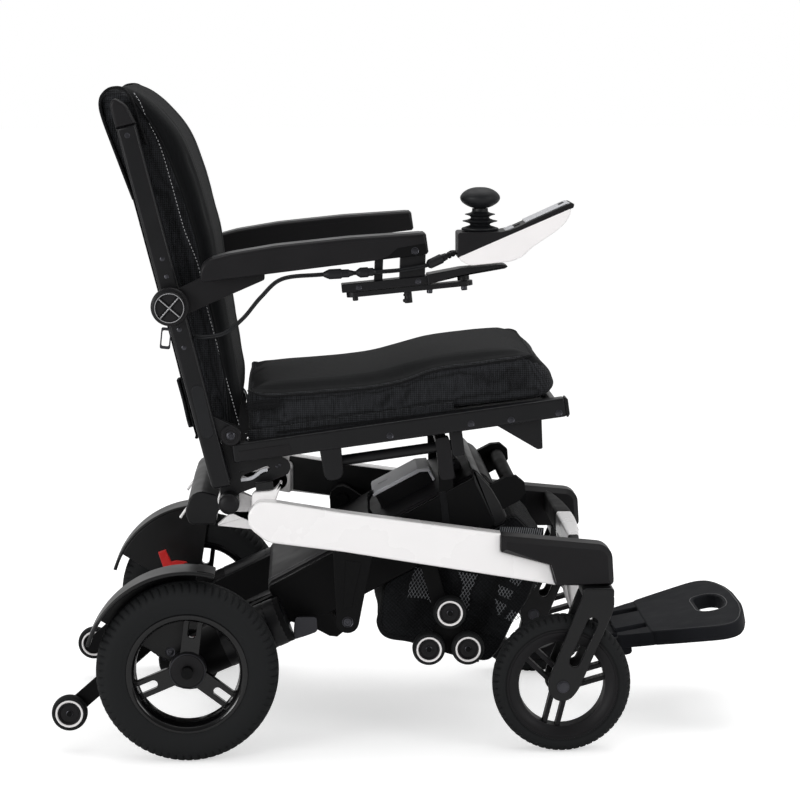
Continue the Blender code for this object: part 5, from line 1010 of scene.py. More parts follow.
# Zip at the rear of each side: a tape with its two rows of teeth and two seams
zip_along = np.linspace(0.006, 0.055, 20)
for side, sign in SIDES:
    zip_path = lambda height, out: at_y(cushion_line(np.stack([zip_along, np.full(20, height)], -1)),
                                        sign * out)
    shells = [banded(zip_path(0.0395, 0.1868), 0.0100, 0.0012, (0, 0, 1))]
    shells += [swept(zip_path(h, 0.1878), 0.0008, 8) for h in (0.0372, 0.0418, 0.0455, 0.0335)]
    piece(f"seat_pad_zip_{side}", shells, WEBBING, "seat", crease=80, level=False)


# Back pad: front cushion, rear cover that wraps over the tubes' tops, hem, stitches and straps

PAD_FRONT = [(0.066, 0.0390), (0.072, 0.0415), (0.100, 0.0480), (0.145, 0.0560), (0.185, 0.0590),
             (0.228, 0.0635),
             (0.303, 0.0690), (0.343, 0.0735), (0.392, 0.0740), (0.452, 0.0715), (0.509, 0.0625),
             (0.5525, 0.0410),
             (0.5750, 0.0250), (0.5880, 0.0080)]
PAD_REAR = [(0.066, 0.0078), (0.4230, 0.0078), (0.4420, -0.0150), (0.470, -0.0190), (0.509, -0.0245),
            (0.5350, -0.0270),
            (0.5525, -0.0280), (0.5700, -0.0275), (0.5820, -0.0255), (0.5880, -0.0180)]


PAD_LOW, PAD_TOP = 0.066, 0.588
PAD_WAIST = [(PAD_LOW, 0), (0.100, 0), (0.145, 1), (PAD_TOP, 1)]


def pad_edge(t, foot_half):
    """Half the pad's width at t: foot_half at its foot, 5 mm more above the waist and drawn in at the top."""
    return foot_half + 0.0050 * curve(PAD_WAIST, t) - 0.014 * np.clip((t - 0.540) / 0.048, 0, 1) ** 2


def seam_depth(t):
    """Where the smooth front cloth meets the woven sides, in front of the tube."""
    behind = [(PAD_LOW, 0.012), (0.18, 0.014), (0.40, 0.022), (0.50, 0.024), (PAD_TOP, 0.012)]
    return curve(PAD_FRONT, t) - curve(behind, t)


def pad_shape(a, b, c):
    """From a unit box: a up the back, b across, c from the rear to the front. The front swells forward and
    its edges are rounded; the foot narrows to pass the hinge plates."""
    t = PAD_LOW + (PAD_TOP - PAD_LOW) * a
    front, rear = curve(PAD_FRONT, t), curve(PAD_REAR, t)
    share = 2 * b - 1
    half = pad_edge(t, 0.1800)
    y = share * half
    front = front - 0.0030 * (1 - share ** 2)
    d = rear + (front - rear) * c
    dy, dd = cornered(half - np.abs(y), front - d, 0.024)
    y, d = np.sign(share) * (half - dy), front - dd
    dy, dd = cornered(half - np.abs(y), d - rear, 0.006)
    return t, np.sign(share) * (half - dy), rear + dd


def on_back(t, y, d):
    """(t, y, d) of the back to the chair's space."""
    return at_y(tube(np.stack([t, d], -1)), y)


abc, quads = box_skin(92, 66, 12)
t, y, d = pad_shape(*abc.T)
on_front = abc[:, 2] > 0.999
on_side = np.abs(2 * abc[:, 1] - 1) > 0.999
side_free = np.clip(np.abs(abc[:, 2] - 0.60) / 0.22, 0.05, 1) * np.clip(abc[:, 2] / 0.2, 0, 1)
free = np.where(on_front, np.clip((0.93 - np.abs(2 * abc[:, 1] - 1)) / 0.10, 0.3, 1),
                np.where(on_side, side_free, 0.0))
free = free * np.clip((t - 0.070) / 0.030, 0.1, 1) * np.clip((0.585 - t) / 0.03, 0.15, 1)
soft_back = puffed(on_back(t, y, d), quads, 0.0055, free)
# Sewn channels of the front, after the cloth run: one up each side, one across between them, and soft
# folds low at the sides. A channel is deep * exp(-(distance / CHANNEL_WIDTH) squared)
CHANNEL_Y, CHANNEL_WIDTH = 0.112, 0.0034
ahead = np.array([math.cos(math.radians(BACK_TILT - 90)), 0, math.sin(math.radians(BACK_TILT - 90))])
up_each_side = np.exp(-((np.abs(y) - CHANNEL_Y) / CHANNEL_WIDTH) ** 2)
up_each_side = up_each_side * np.clip((0.565 - t) / 0.03, 0, 1) * np.clip((t - 0.09) / 0.03, 0, 1)
across_it = np.exp(-((t - 0.262 + 0.010 * (y / CHANNEL_Y) ** 2) / CHANNEL_WIDTH) ** 2)
deep = 0.0034 * up_each_side + 0.0030 * across_it * np.clip((CHANNEL_Y - np.abs(y)) / 0.012, 0, 1)
folds = 0.0012 * np.sin(t * 95 + np.abs(y) * 40) * np.exp(-((t - 0.13) / 0.05) ** 2)
folds = folds * np.clip((np.abs(y) - 0.10) / 0.05, 0, 1)
soft_back = soft_back - ahead * ((deep + folds) * on_front)[:, None]
SIDE_CREASES = [(0.070, 0.030, 0.160, 0.042, 0.0016, 0.005), (0.100, 0.050, 0.210, 0.056, 0.0012, 0.005),
                (0.200, 0.030, 0.300, 0.052, 0.0012, 0.008), (0.330, 0.050, 0.480, 0.060, 0.0010, 0.010),
                (0.500, 0.020, 0.560, 0.010, 0.0014, 0.006)]
soft_back[:, 1] -= np.sign(y) * creased(np.stack([t, d], -1), SIDE_CREASES) * on_side
pad = piece("back_cushion", [(soft_back, quads)], WOVEN, "back", "back_pad", crease=80, level=False)
pad.data.materials.append(KNIT)
middles = np.array([f.center[:] for f in pad.data.polygons])
mt, mv = frame_of(middles, BACK_FOOT, BACK_TILT)
pad.data.polygons.foreach_set("material_index", np.where(-mv > seam_depth(mt), 1, 0).astype(np.int32))
finer = pad.modifiers.new("finer", "SUBSURF")
finer.levels = finer.render_levels = 1

# Piping where the smooth front meets the woven side, and the pale topstitch behind it
TOPSTITCH = [(0.0780, 0.0445), (0.094, 0.0445), (0.180, 0.0440), (0.266, 0.0437), (0.317, 0.0468),
             (0.372, 0.0406), (0.435, 0.0398), (0.494, 0.0378), (0.538, 0.0292), (0.560, 0.0262),
             (0.577, 0.0200)]
for side, sign in SIDES:
    up = np.linspace(0.080, 0.572, 150)
    seam = on_back(up, sign * pad_edge(up, 0.1813), seam_depth(up))
    piece(f"back_piping_{side}", [swept(seam, 0.0016, 8)], KNIT, "back", crease=80, level=False)
    run = flowing(TOPSTITCH, 96)
    row = on_back(run[:, 0], sign * pad_edge(run[:, 0], 0.1818), run[:, 1])
    stitches = [swept(np.linspace(a, b * 0.55 + a * 0.45, 4), 0.00055, 6) for a, b in zip(row[:-1], row[1:])]
    piece(f"back_topstitch_{side}", stitches, THREAD, "back", crease=60, level=False)

# Rear cover: a sheet held between the tubes, from over the pad's top down to its hem
COVER = [(0.5835, -0.0262), (0.5700, -0.0305), (0.5525, -0.0318), (0.5300, -0.0308), (0.5000, -0.0268),
         (0.4600, -0.0218),
         (0.4300, -0.0195), (0.3400, -0.0190), (0.2280, -0.0187), (0.1450, -0.0195), (0.1000, -0.0200),
         (0.0740, -0.0196)]
COVER_Y, COVER_STEPS = 0.1835, 110
run = flowing(COVER, COVER_STEPS)
ys = np.linspace(-COVER_Y, COVER_Y, 61)
fullness = 1 - (ys[:, None] / COVER_Y) ** 2
sag = 0.0016 * np.sin(run[:, 0] * 60)[None] * fullness * np.clip((0.5 - run[:, 0]) / 0.1, 0, 1)[None]
belly = 0.0035 * fullness * np.sin(np.pi * np.linspace(0, 1, COVER_STEPS))[None]
outer_d = run[None, :, 1] - belly - sag
inner_d = outer_d + 0.0016
grid = []
for across, outside, inside in zip(ys, outer_d, inner_d):
    grid.append(at_y(np.concatenate([tube(np.stack([run[:, 0], outside], -1)),
                                     tube(np.stack([run[:, 0], inside], -1))[::-1]]), across))
cover = piece("back_cover", [skin(grid)], WOVEN, "back", crease=60, level=False)
cover_length = float(np.linalg.norm(np.diff(tube(run), axis=0), axis=1).sum())
hem = at_y(np.tile(tube((0.0755, -0.0192)), (60, 1)), np.linspace(-COVER_Y, COVER_Y, 60))
hem_piece = piece("back_cover_hem", [swept(hem, 0.0026, 10, 0.6)], WEBBING, "back", crease=80, level=False)
for side, sign in SIDES:
    edge_run = flowing([(0.4300, -0.0180), (0.5000, -0.0255), (0.5525, -0.0305), (0.5750, -0.0285),
                        (0.5855, -0.0205), (0.5895, -0.0080), (0.5840, 0.0080), (0.5640, 0.0160),
                        (0.5300, 0.0180), (0.5000, 0.0200)], 80)
    out = 0.1872 - 0.010 * np.exp(-((edge_run[:, 0] - 0.588) / 0.012) ** 2)
    edge = swept(on_back(edge_run[:, 0], sign * out, edge_run[:, 1]), 0.0022, 10)
    piece(f"back_sleeve_edge_{side}", [edge], WEBBING, "back", crease=80, level=False)

# Pull strap with its tail behind the back, and the strap ring and flap low behind the right tube
tab = at_y(tube([(0.402, -0.0215), (0.398, -0.0275), (0.386, -0.0315), (0.374, -0.0300)]), 0)
tail = at_y(tube([(0.398, -0.0240), (0.380, -0.0300), (0.350, -0.0315), (0.322, -0.0300)]), 0)
piece("back_pull_tab", [banded(flowing(tab, 16), 0.030, 0.0022, (0, 1, 0))], GREY_WEB, "back", crease=60,
      level=False)
piece("back_pull_tail", [banded(flowing(tail, 24), 0.026, 0.0018, (0, 1, 0))], WEBBING, "back", crease=60,
      level=False)
flap = flowing([(-0.0137, -0.155, 0.5345), (-0.0060, -0.156, 0.505), (0.0000, -0.158, 0.478),
                (0.0040, -0.160, 0.4643)], 24)
buckle = np.array([(-0.0345, 0.6153), (-0.0196, 0.6138), (-0.0228, 0.5830), (-0.0377, 0.5845)])
middle = buckle.mean(0)
loops = [resampled(eased(middle + (buckle - middle) * k, 0.003, 5), 96, middle) for k in (1.0, 0.72)]
piece("back_strap_buckle", [holed(*loops, -0.2065, -0.2045, 0.0006, 3, upright)], GREY_CAST, "back")
piece("back_strap_flap", [banded(flap, 0.040, 0.0040, (0, 1, 0), 0.9, 5)], WOVEN, "back", crease=60,
      level=False)


# Storage basket: a bag that sags below the bay, with netting windows in its sides

BASKET = [(0.2815, 0.2265), (0.2800, 0.2030), (0.2765, 0.1790), (0.2770, 0.1655), (0.2885, 0.1490),
          (0.3236, 0.1415), (0.3700, 0.1270),
          (0.4300, 0.1085), (0.4425, 0.1105), (0.4580, 0.1290), (0.4740, 0.1655), (0.5000, 0.2050),
          (0.5150, 0.2500),
          (0.5175, 0.2900), (0.4775, 0.3315)]
BASKET_Y = 0.1478
middle = np.array((0.395, 0.205))
loop = resampled(eased(BASKET, 0.010, 4), 144, middle)
rows = []
low_share = np.clip((0.19 - loop[:, 1]) / 0.08, 0, 1)
front_share = np.clip((loop[:, 0] - 0.46) / 0.05, 0, 1)
for across in np.linspace(-1, 1, 41):
    full = 1 - across ** 2
    shape = loop + np.stack([0.005 * full * front_share, -0.005 * full * low_share], -1)
    shape[:, 0] += 0.0012 * np.sin(loop[:, 1] * 160 + across * 5) * full
    tuck = np.clip((np.abs(across) - 0.93) / 0.07, 0, 1)
    shape = middle + (shape - middle) * (1 - 0.030 * tuck ** 2)
    rows.append(at_y(shape, BASKET_Y * across))


def basket_side(sign):
    """Rings from the bag's edge to its middle, drawn in by soft folds: y is BASKET_Y less their depth."""
    rings = []
    for k in np.linspace(0.97, 0.02, 26):
        shape = middle + (loop - middle) * k
        depth = 0.0040 * (1 - k) ** 0.5 + 0.0016 * np.sin(shape[:, 0] * 130 - shape[:,
                                                                                    1] * 60) * (1 - k) * k * 4
        rings.append(at_y(shape, sign * BASKET_Y - sign * (0.0006 + depth * 0.6)))
    return rings


body_rows = [*basket_side(-1)[::-1], *rows, *basket_side(1)]
piece("basket_bag", [skin(body_rows)], NETTING, "chassis", "storage_basket", crease=60, level=False)

WINDOWS = [[(0.3307, 0.2524), (0.3617, 0.2469), (0.3535, 0.2281), (0.3545, 0.2176), (0.3618, 0.1984),
            (0.3577, 0.1954),
            (0.3461, 0.2048), (0.3194, 0.2073), (0.3205, 0.2220)],
           [(0.3928, 0.2447), (0.4228, 0.2401), (0.4115, 0.2130), (0.4096, 0.1853), (0.3960, 0.2067),
            (0.4012, 0.2236)],
           [(0.4685, 0.2345), (0.4892, 0.2322), (0.4820, 0.2218), (0.4706, 0.2291)],
           [(0.4539, 0.2252), (0.4758, 0.2145), (0.4707, 0.2020), (0.4521, 0.2104)],
           [(0.4479, 0.2041), (0.4666, 0.1933), (0.4533, 0.1755)],
           [(0.4729, 0.1880), (0.4875, 0.1762), (0.4751, 0.1679), (0.4626, 0.1743)],
           [(0.5080, 0.2310), (0.5135, 0.2310), (0.5060, 0.2163)]]


def strands(window, slope, pitch):
    """Where parallel lines at a slope cross a window's outline: each line's first and last crossing."""
    p = np.asarray(window, float)
    n = np.array((-math.sin(slope), math.cos(slope)))
    level_at = p @ n
    ends = []
    for h in np.arange(math.ceil(level_at.min() / pitch) * pitch, level_at.max(), pitch):
        found = []
        for k in range(len(p)):
            a, b = p[k], p[(k + 1) % len(p)]
            ha, hb = level_at[k], level_at[(k + 1) % len(p)]
            if (ha - h) * (hb - h) < 0:
                found.append(a + (b - a) * (h - ha) / (hb - ha))
        if len(found) >= 2:
            found = sorted(found, key=lambda q: q @ np.array((math.cos(slope), math.sin(slope))))
            ends.append((found[0], found[-1]))
    return ends


for side, sign in SIDES:
    nets = []
    for window in WINDOWS:
        for slope in (math.radians(52), math.radians(-64)):
            for a, b in strands(window, slope, 0.0044):
                line_x = np.linspace(a, b, max(3, int(np.linalg.norm(b - a) / 0.006)))
                nets.append(swept(at_y(line_x, sign * 0.1480), 0.00042, 5))
    piece(f"basket_netting_{side}", nets, NET_THREAD, "chassis", crease=80, level=False)
    lip = flowing([(0.2790, sign * 0.1470, 0.1850), (0.2765, sign * 0.1475, 0.1700),
                   (0.2825, sign * 0.1475, 0.1550),
                   (0.2950, sign * 0.1475, 0.1475), (0.3236, sign * 0.1475, 0.1425),
                   (0.3700, sign * 0.1475, 0.1280),
                   (0.4250, sign * 0.1475, 0.1110)], 70)
    piece(f"basket_binding_{side}", [banded(lip, 0.0050, 0.0070, (0, 1, 0), 0.6)], WEBBING, "chassis",
          crease=80, level=False)
    # The ribbed hem between the bay and the basket's front corner falls by 5 % forwards
    fall = lambda x: (x - 0.452) * 0.05
    ribs = [swept(np.linspace((x, sign * 0.1515, 0.2960 - fall(x)),
                              (x + 0.004, sign * 0.1515, 0.3125 - fall(x)), 5),
                  0.0010, 6) for x in np.arange(0.452, 0.516, 0.0032)]
    piece(f"basket_ribs_{side}", ribs, NET_THREAD, "chassis", crease=80, level=False)
    backing = np.array([(x, sign * 0.1498, 0.3045 - fall(x)) for x in np.linspace(0.449, 0.519, 12)])
    piece(f"basket_hem_{side}", [banded(backing, 0.018, 0.0024, (0, 0, 1), 0.6)], WEBBING, "chassis",
          crease=80, level=False)

# Seat board: a taut cloth between the rails, with its turned hems
SLING_Y, SLING_REAR, SLING_FRONT = 0.1905, 0.045, 0.431
rings = []
for across in np.linspace(-SLING_Y, SLING_Y, 41):
    dip = 0.004 * (1 - (across / SLING_Y) ** 2) * np.sin(np.pi * np.linspace(0, 1, 60)) ** 0.5
    top = np.stack([np.linspace(SLING_REAR, SLING_FRONT, 60), -0.0003 - dip], -1)
    rings.append(at_y(cushion_line(np.concatenate([top, top[::-1] - (0, 0.0042)])), across))
seat_cloth = piece("seat_sling", [skin(rings)], WEBBING, "seat", "seat_board", crease=50, level=False)


# Screws, studs and plates: short helpers for what is bolted on

def screws(places, y, sign, radius, rise=0.0010):
    """Screw heads on a side face: a washer ring, a domed head and a sunk middle, turned about y."""
    head = [(0, rise * 0.4), (radius * 0.34, rise * 0.4), (radius * 0.42, rise), (radius * 0.74, rise * 0.75),
            (radius * 0.80, rise * 0.1), (radius * 0.86, rise * 0.1), (radius, rise * 0.45),
            (radius * 1.04, -0.0006), (0, -0.0006)]
    return [spun(head, at, y, sign, 28) for at in np.atleast_2d(places)]


def crossed(place, y, sign, radius):
    """A cross-slot screw: four petals raised round a sunk cross."""
    r = np.linspace(0, 1, 10)[:, None] * radius
    t = np.linspace(0, 2 * np.pi, 48, endpoint=False)[None, :]
    bars = np.minimum(np.abs(r * np.sin(t + 0.5)), np.abs(r * np.cos(t + 0.5)))
    h = 0.0012 * (1 - (r / radius) ** 4) - 0.0008 * (bars < radius * 0.14) * (r < radius * 0.7)
    face = np.stack([place[0] + r * np.cos(t), y + sign * h + 0 * t, place[1] + r * np.sin(t)], -1)
    foot_ring = np.stack([face[-1, :, 0], np.full(48, y - sign * 0.0008), face[-1, :, 2]], -1)
    return skin(np.concatenate([face, foot_ring[None]]))


def on_plan(shell, place):
    """A plate drawn in plan, (along, across) with its width as height, put on a tilted line."""
    return at_y(place(shell[0][:, :2]), shell[0][:, 2]), shell[1]


# Seat frame: square side rails, slide rods between their hangers, and the cross bars

shells, bolts, plugs = [], [], []
for side, sign in SIDES:
    inner, outer = sign * 0.191, sign * 0.215
    shells.append(plate(eased(seat(slab(0.0155, 0.4985, 0.0569, 0.0845)), 0.004, 4), inner, outer, 0.0032, 4))
    hanger = eased(seat([(0.1395, 0.060), (0.1412, 0.020), (0.1465, 0.012), (0.1625, 0.012), (0.1685, 0.020),
                         (0.1712, 0.060)]), 0.005, 5)
    shells.append(plate(hanger, sign * 0.16725, sign * 0.2128, 0.0022, 3))
    shells.append(plate(eased(seat(slab(0.3285, 0.347, 0.018, 0.067)), 0.005, 5), sign * 0.16725,
                        sign * 0.1912, 0.0020))
    rod = np.linspace(*seat([(0.151, 0.034), (0.342, 0.034)]), 4)
    shells.append(swept(at_y(rod, sign * 0.17925), 0.0078, 32))
    bolts += screws(seat([(0.2425, 0.0651), (0.3601, 0.0659), (0.4178, 0.0635), (0.4875, 0.0638)]), outer,
                    sign,
                    0.0048)
    plug = eased(seat([(0.4980, 0.0562), (0.5005, 0.0562), (0.5030, 0.0600), (0.5030, 0.0815),
                       (0.5005, 0.0848),
                       (0.4980, 0.0848)]), 0.001, 2)
    plugs.append(plate(plug, sign * 0.1905, sign * 0.2155, 0.0016, 3))
    plugs.append(plate(eased(seat(slab(0.0236, 0.0989, 0.0590, 0.0739)), 0.0035, 4), sign * 0.2145,
                       sign * 0.2160, 0.0006, 3))
for at in seat([(0.155, 0.0655), (0.338, 0.0655), (0.485, 0.0655)]):
    shells.append(pin(at, 0.0095, -0.1915, 0.1915))
front_wedge = eased(seat([(0.392, 0.0589), (0.452, 0.0115), (0.4595, 0.0115), (0.464, 0.0589),
                          (0.464, 0.0689),
                          (0.392, 0.0689)]), 0.002, 3)
shells.append(plate(front_wedge, -0.1912, 0.1912, 0.0015))
piece("seat_side_rails", shells, BLACK, "seat", "seat_frame")
piece("seat_rail_bolts", bolts, ZINC, "seat")
for side, sign in SIDES:
    skirt = plate(seat(slab(0.040, 0.340, 0.0830, 0.0980)), sign * 0.1872, sign * 0.1902, 0.0010, 2)
    piece(f"seat_skirt_{side}", [skirt], WOVEN, "seat")
piece("seat_rail_plugs", plugs, MOULDED, "seat")


# Folding hinge: slotted side plates with a curved latch, the rear pivot's dome and the back's pivot screw

latch = seat([(0.0208, 0.0280), (0.0366, 0.0286), (0.0524, 0.0366), (0.0610, 0.0376)])
for side, sign in SIDES:
    dressed(f"hinge_plate_{side}", f"hinge_side_{side}", BLACK, 0.0012)
    path = flowing(at_y(latch, sign * 0.1893), 24)
    piece(f"hinge_latch_{side}", [banded(path, 0.0036, 0.0052, (0, 1, 0))], GREY, "seat")
    dome = [(0, 0.0030), (0.0060, 0.0027), (0.0100, 0.0018), (0.0128, 0.0006), (0.0140, -0.0010),
            (0.0148, -0.0010), (0.0148, -0.0030), (0, -0.0030)]
    piece(f"rear_pivot_dome_{side}", [spun(dome, REAR_PIVOT, sign * 0.2185, sign, 56)], MOULDED, "seat")
    disc = [(0, 0.0065), (0.0074, 0.0065), (0.0080, 0.0073), (0.0096, 0.0073), (0.0102, 0.0065),
            (0.0136, 0.0063), (0.0145, 0.0055), (0.0145, 0.0044), (0.0125, 0.0044), (0.0125, -0.0010),
            (0, -0.0010)]
    piece(f"back_pivot_disc_{side}", [spun(disc, BACK_PIVOT, sign * 0.2112, sign, 56)], MOULDED, "back")
    piece(f"back_pivot_screw_{side}", [crossed(BACK_PIVOT, sign * 0.2178, sign, 0.0060)], ZINC, "back")
    rivets = screws(seat([(0.0750, 0.0400), (0.0795, 0.0420)]), sign * 0.1905, sign, 0.0022)
    piece(f"hinge_bolts_{side}", rivets, ZINC, "seat")


# Front cross bar, a bow in plan, and the two bent hangers that carry the footplate

def bowed(front, across):
    """The cross bar's front edge in plan: 16.5 mm further forward in its middle than at its ends."""
    return np.column_stack([front + 0.0165 * (1 - (across / 0.21) ** 2), across])


plan = np.concatenate([[(0.554, 0.2094), (0.554, -0.2094)], bowed(0.563, np.linspace(-0.2094, 0.2094, 41))])
shells = [laid_flat(plate(plan, 0.272, 0.303, 0.0045, 4))]
bend = flowing([(0.566, 0.2920), (0.5700, 0.2550), (0.5740, 0.2100), (0.5830, 0.1650), (0.6020, 0.1300),
                (0.6250, 0.1105)], 40)
for sign in (1, -1):
    shells.append(banded(at_y(bend, sign * 0.055), 0.0216, 0.0205, (0, 1, 0), 0.55, 5))
piece("front_cross_bar", shells, WHITE, "front_frame", "front_cross_member")
sleeves = []
for sign, start in ((1, 0.020), (-1, 0.165)):
    cover = np.concatenate([bowed(0.5634, np.linspace(start, 0.2060, 15)),
                            [(0.5534, 0.2060), (0.5534, start)]])
    sleeves.append(laid_flat(plate(cover * (1, sign), 0.2714, 0.3036, 0.0048, 4)))
# The sleeves are in the painted-shade black
piece("front_cross_bar_sleeves", sleeves, SHADE_BLACK, "front_frame")
hinge_pin = [(0, -0.0775), (0.0052, -0.0775), (0.0060, -0.0765), (0.0060, 0.0765), (0.0052, 0.0775),
             (0, 0.0775)]
piece("footplate_pin", [spun(hinge_pin, FOOT_PIN)], ZINC, "front_frame")


# Footplate: a grained plate with a hand hole, tongues round the hangers and lugs on the pin

half_plan = np.array([(0.060, 0.0), (0.060, 0.109), (0.100, 0.130), (0.150, 0.154), (0.166, 0.158),
                      (0.178, 0.155), (0.188, 0.146), (0.197, 0.124), (0.206, 0.083), (0.210, 0.040),
                      (0.210, 0.0)])
half_hole = np.array([(0.146, 0.0), (0.146, 0.032), (0.150, 0.046), (0.160, 0.052), (0.172, 0.051),
                      (0.181, 0.040),
                      (0.186, 0.020), (0.187, 0.0)])
FOOT_LOW, FOOT_HIGH = 0.006, 0.028


def both_halves(half):
    return np.concatenate([half, half[-2:0:-1] * (1, -1)])


centre = np.array((0.166, 0.0))
outer = resampled(eased(both_halves(half_plan), 0.008, 6), 220, centre)
inner = resampled(eased(both_halves(half_hole), 0.004, 5), 220, centre)
to_foot = lambda p: at_y(foot(p[:, [0, 2]]), p[:, 1])
in_plan = lambda line, height: to_foot(np.column_stack([line, np.full(len(line), height)]))
shells = [holed(outer, inner, FOOT_LOW, FOOT_HIGH, 0.0026, 5, to_foot)]
tongues = [slab(0.012, 0.064, -0.042, 0.042)]
for s in (1, -1):
    tongues.append([(0.012, s * 0.068), (0.064, s * 0.068), (0.064, s * 0.110), (0.046, s * 0.103),
                    (0.012, s * 0.0875)])
for tongue in tongues:
    shells.append(on_plan(plate(eased(tongue, 0.004, 4), FOOT_LOW, FOOT_HIGH - 0.0012, 0.002, 3), foot))
lug = eased(foot(slab(-0.008, 0.030, -0.008, 0.020)), 0.007, 6)
for y0, y1 in ((-0.0435, 0.0435), (0.0665, 0.078), (-0.078, -0.0665)):
    shells.append(plate(lug, y0, y1, 0.0015))
piece("foot_rest", shells, GRAINED, "foot", "footplate", crease=30)

# Its border: a raised lip round the hole, and a bead 4.5 mm inside the edge from one tongue to the other,
# both in the paler black of a painted highlight on the rim
BORDER = 0.0045
lip = ((BORDER, -0.0002), (BORDER + 0.0001, 0.0004), (BORDER + 0.0013, 0.0004), (BORDER + 0.0014, -0.0002))
rims = [skin([in_plan(inner + outward(inner) * out, FOOT_HIGH + rise) for out, rise in lip], caps=False,
             wrap=True)]
bead = outer - outward(outer) * BORDER
bead = np.roll(bead, -int(np.argmin(bead[:, 0] + np.abs(bead[:, 1]) * 0.01)), axis=0)
bead = bead[bead[:, 0] > 0.0662]
rims.append(swept(in_plan(bead, FOOT_HIGH - 0.0001), 0.0007, 8))
piece("foot_rest_border", rims, HIGHLIT_BLACK_ABS, "foot")


# Mudguards: a bowed blade over the wheel, a side skirt and the stub that carries it

def arc(radius, start, end, steps=48, centre=AXLE):
    """Part of a circle round the wheel's axle, from one angle to another in degrees."""
    t = np.radians(np.linspace(start, end, steps))
    return np.stack([centre[0] + radius * np.cos(t), centre[1] + radius * np.sin(t)], -1)


GUARD_STUB = (-0.026, 0.150)
for side, sign in SIDES:
    blade = np.concatenate([arc(0.1485, 74, 163.5), arc(0.1430, 163.5, 74)])
    skirt = np.concatenate([arc(0.1438, 84, 152, 30), arc(0.022, 172, 100, 8)])
    step = np.concatenate([arc(0.1496, 74.5, 84, 10), arc(0.1470, 84, 74.5, 10)])
    shells = [plate(blade, sign * 0.2385, sign * 0.2975, 0.0024, 4),
              plate(skirt, sign * 0.2385, sign * 0.2414, 0.0010),
              plate(step, sign * 0.2425, sign * 0.2935, 0.0010),
              pin(GUARD_STUB, 0.008, sign * 0.2097, sign * 0.2405)]
    piece(f"wheel_guard_{side}", shells, SATIN, "chassis", f"mudguard_{side}", crease=30)
    piece(f"wheel_guard_screw_{side}", screws([GUARD_STUB], sign * 0.2414, sign, 0.0070, 0.0009), ZINC,
          "chassis")


# Caster forks: a crown, two slotted blades, the stem and the axle bolt

blade = eased([(0.565, 0.233), (0.5165, 0.110), (0.5165, 0.090), (0.530, 0.0775), (0.548, 0.0795),
               (0.5605, 0.095), (0.6105, 0.213), (0.6105, 0.233)], 0.009, 6, (0, 7))
slot_middle = np.array((0.567, 0.164))
outer = resampled(blade, 160, slot_middle)
inner = resampled(capsule((0.5795, 0.1930), (0.5545, 0.1365), 0.0078, 12), 160, slot_middle)
for side, sign in SIDES:
    y = sign * CASTER_Y
    crown = eased([(0.565, 0.2435), (0.6105, 0.2435), (0.6105, 0.229), (0.565, 0.229)], 0.005, 5)
    shells = [plate(crown, y - 0.0305, y + 0.0305, 0.0025, 4),
              turned([(0, 0.2385), (0.008, 0.2385), (0.008, 0.2733), (0, 0.2733)], (0.590, y, 0), (0, 0, 1),
                     32)]
    for low in (-0.0305, 0.0245):
        shells.append(holed(outer, inner, y + low, y + low + 0.006, 0.0016, 3, upright))
    piece(f"fork_blades_{side}", shells, SATIN, f"fork_{side[0]}", f"caster_fork_{side}",
          crease=30)
    bolt = [(0, 0.0326), (0.0030, 0.0326), (0.0036, 0.0336), (0.0062, 0.0336), (0.0068, 0.0330),
            (0.0070, 0.0318), (0.0088, 0.0316), (0.0092, 0.0306), (0.0060, 0.0300), (0.0060, -0.0300),
            (0.0092, -0.0306), (0.0088, -0.0316), (0.0070, -0.0318), (0.0066, -0.0336), (0, -0.0336)]
    piece(f"caster_bolt_{side}", [spun(bolt, CASTER_AXLE, y, 1, 36)], ZINC, f"fork_{side[0]}")


# Drop brackets: a dark plate with a pressed groove, down to the round boss of the rollers' bolt

# The brackets are in the painted-shade black
for side, sign in SIDES:
    boss = (0.229, 0.1915)
    vee = np.concatenate([[(0.2640, 0.2858), (0.2085, 0.2949)], arc(0.0165, 190, 350, 20, boss)])
    groove = [(0.2490, 0.2790), (0.2262, 0.2826), (0.2230, 0.2120), (0.2345, 0.2110)]
    piece(f"drop_bracket_{side}", [plate(vee, sign * 0.2355, sign * 0.2413, 0.0014),
                                   plate(eased(groove, 0.003, 4), sign * 0.2405, sign * 0.2422, 0.0008)],
          SHADE_BLACK,
          "front_frame", f"rail_bracket_{side}")
    piece(f"drop_bracket_bolt_{side}", screws([boss], sign * 0.2410, sign, 0.0078, 0.0016), ZINC,
          "front_frame")
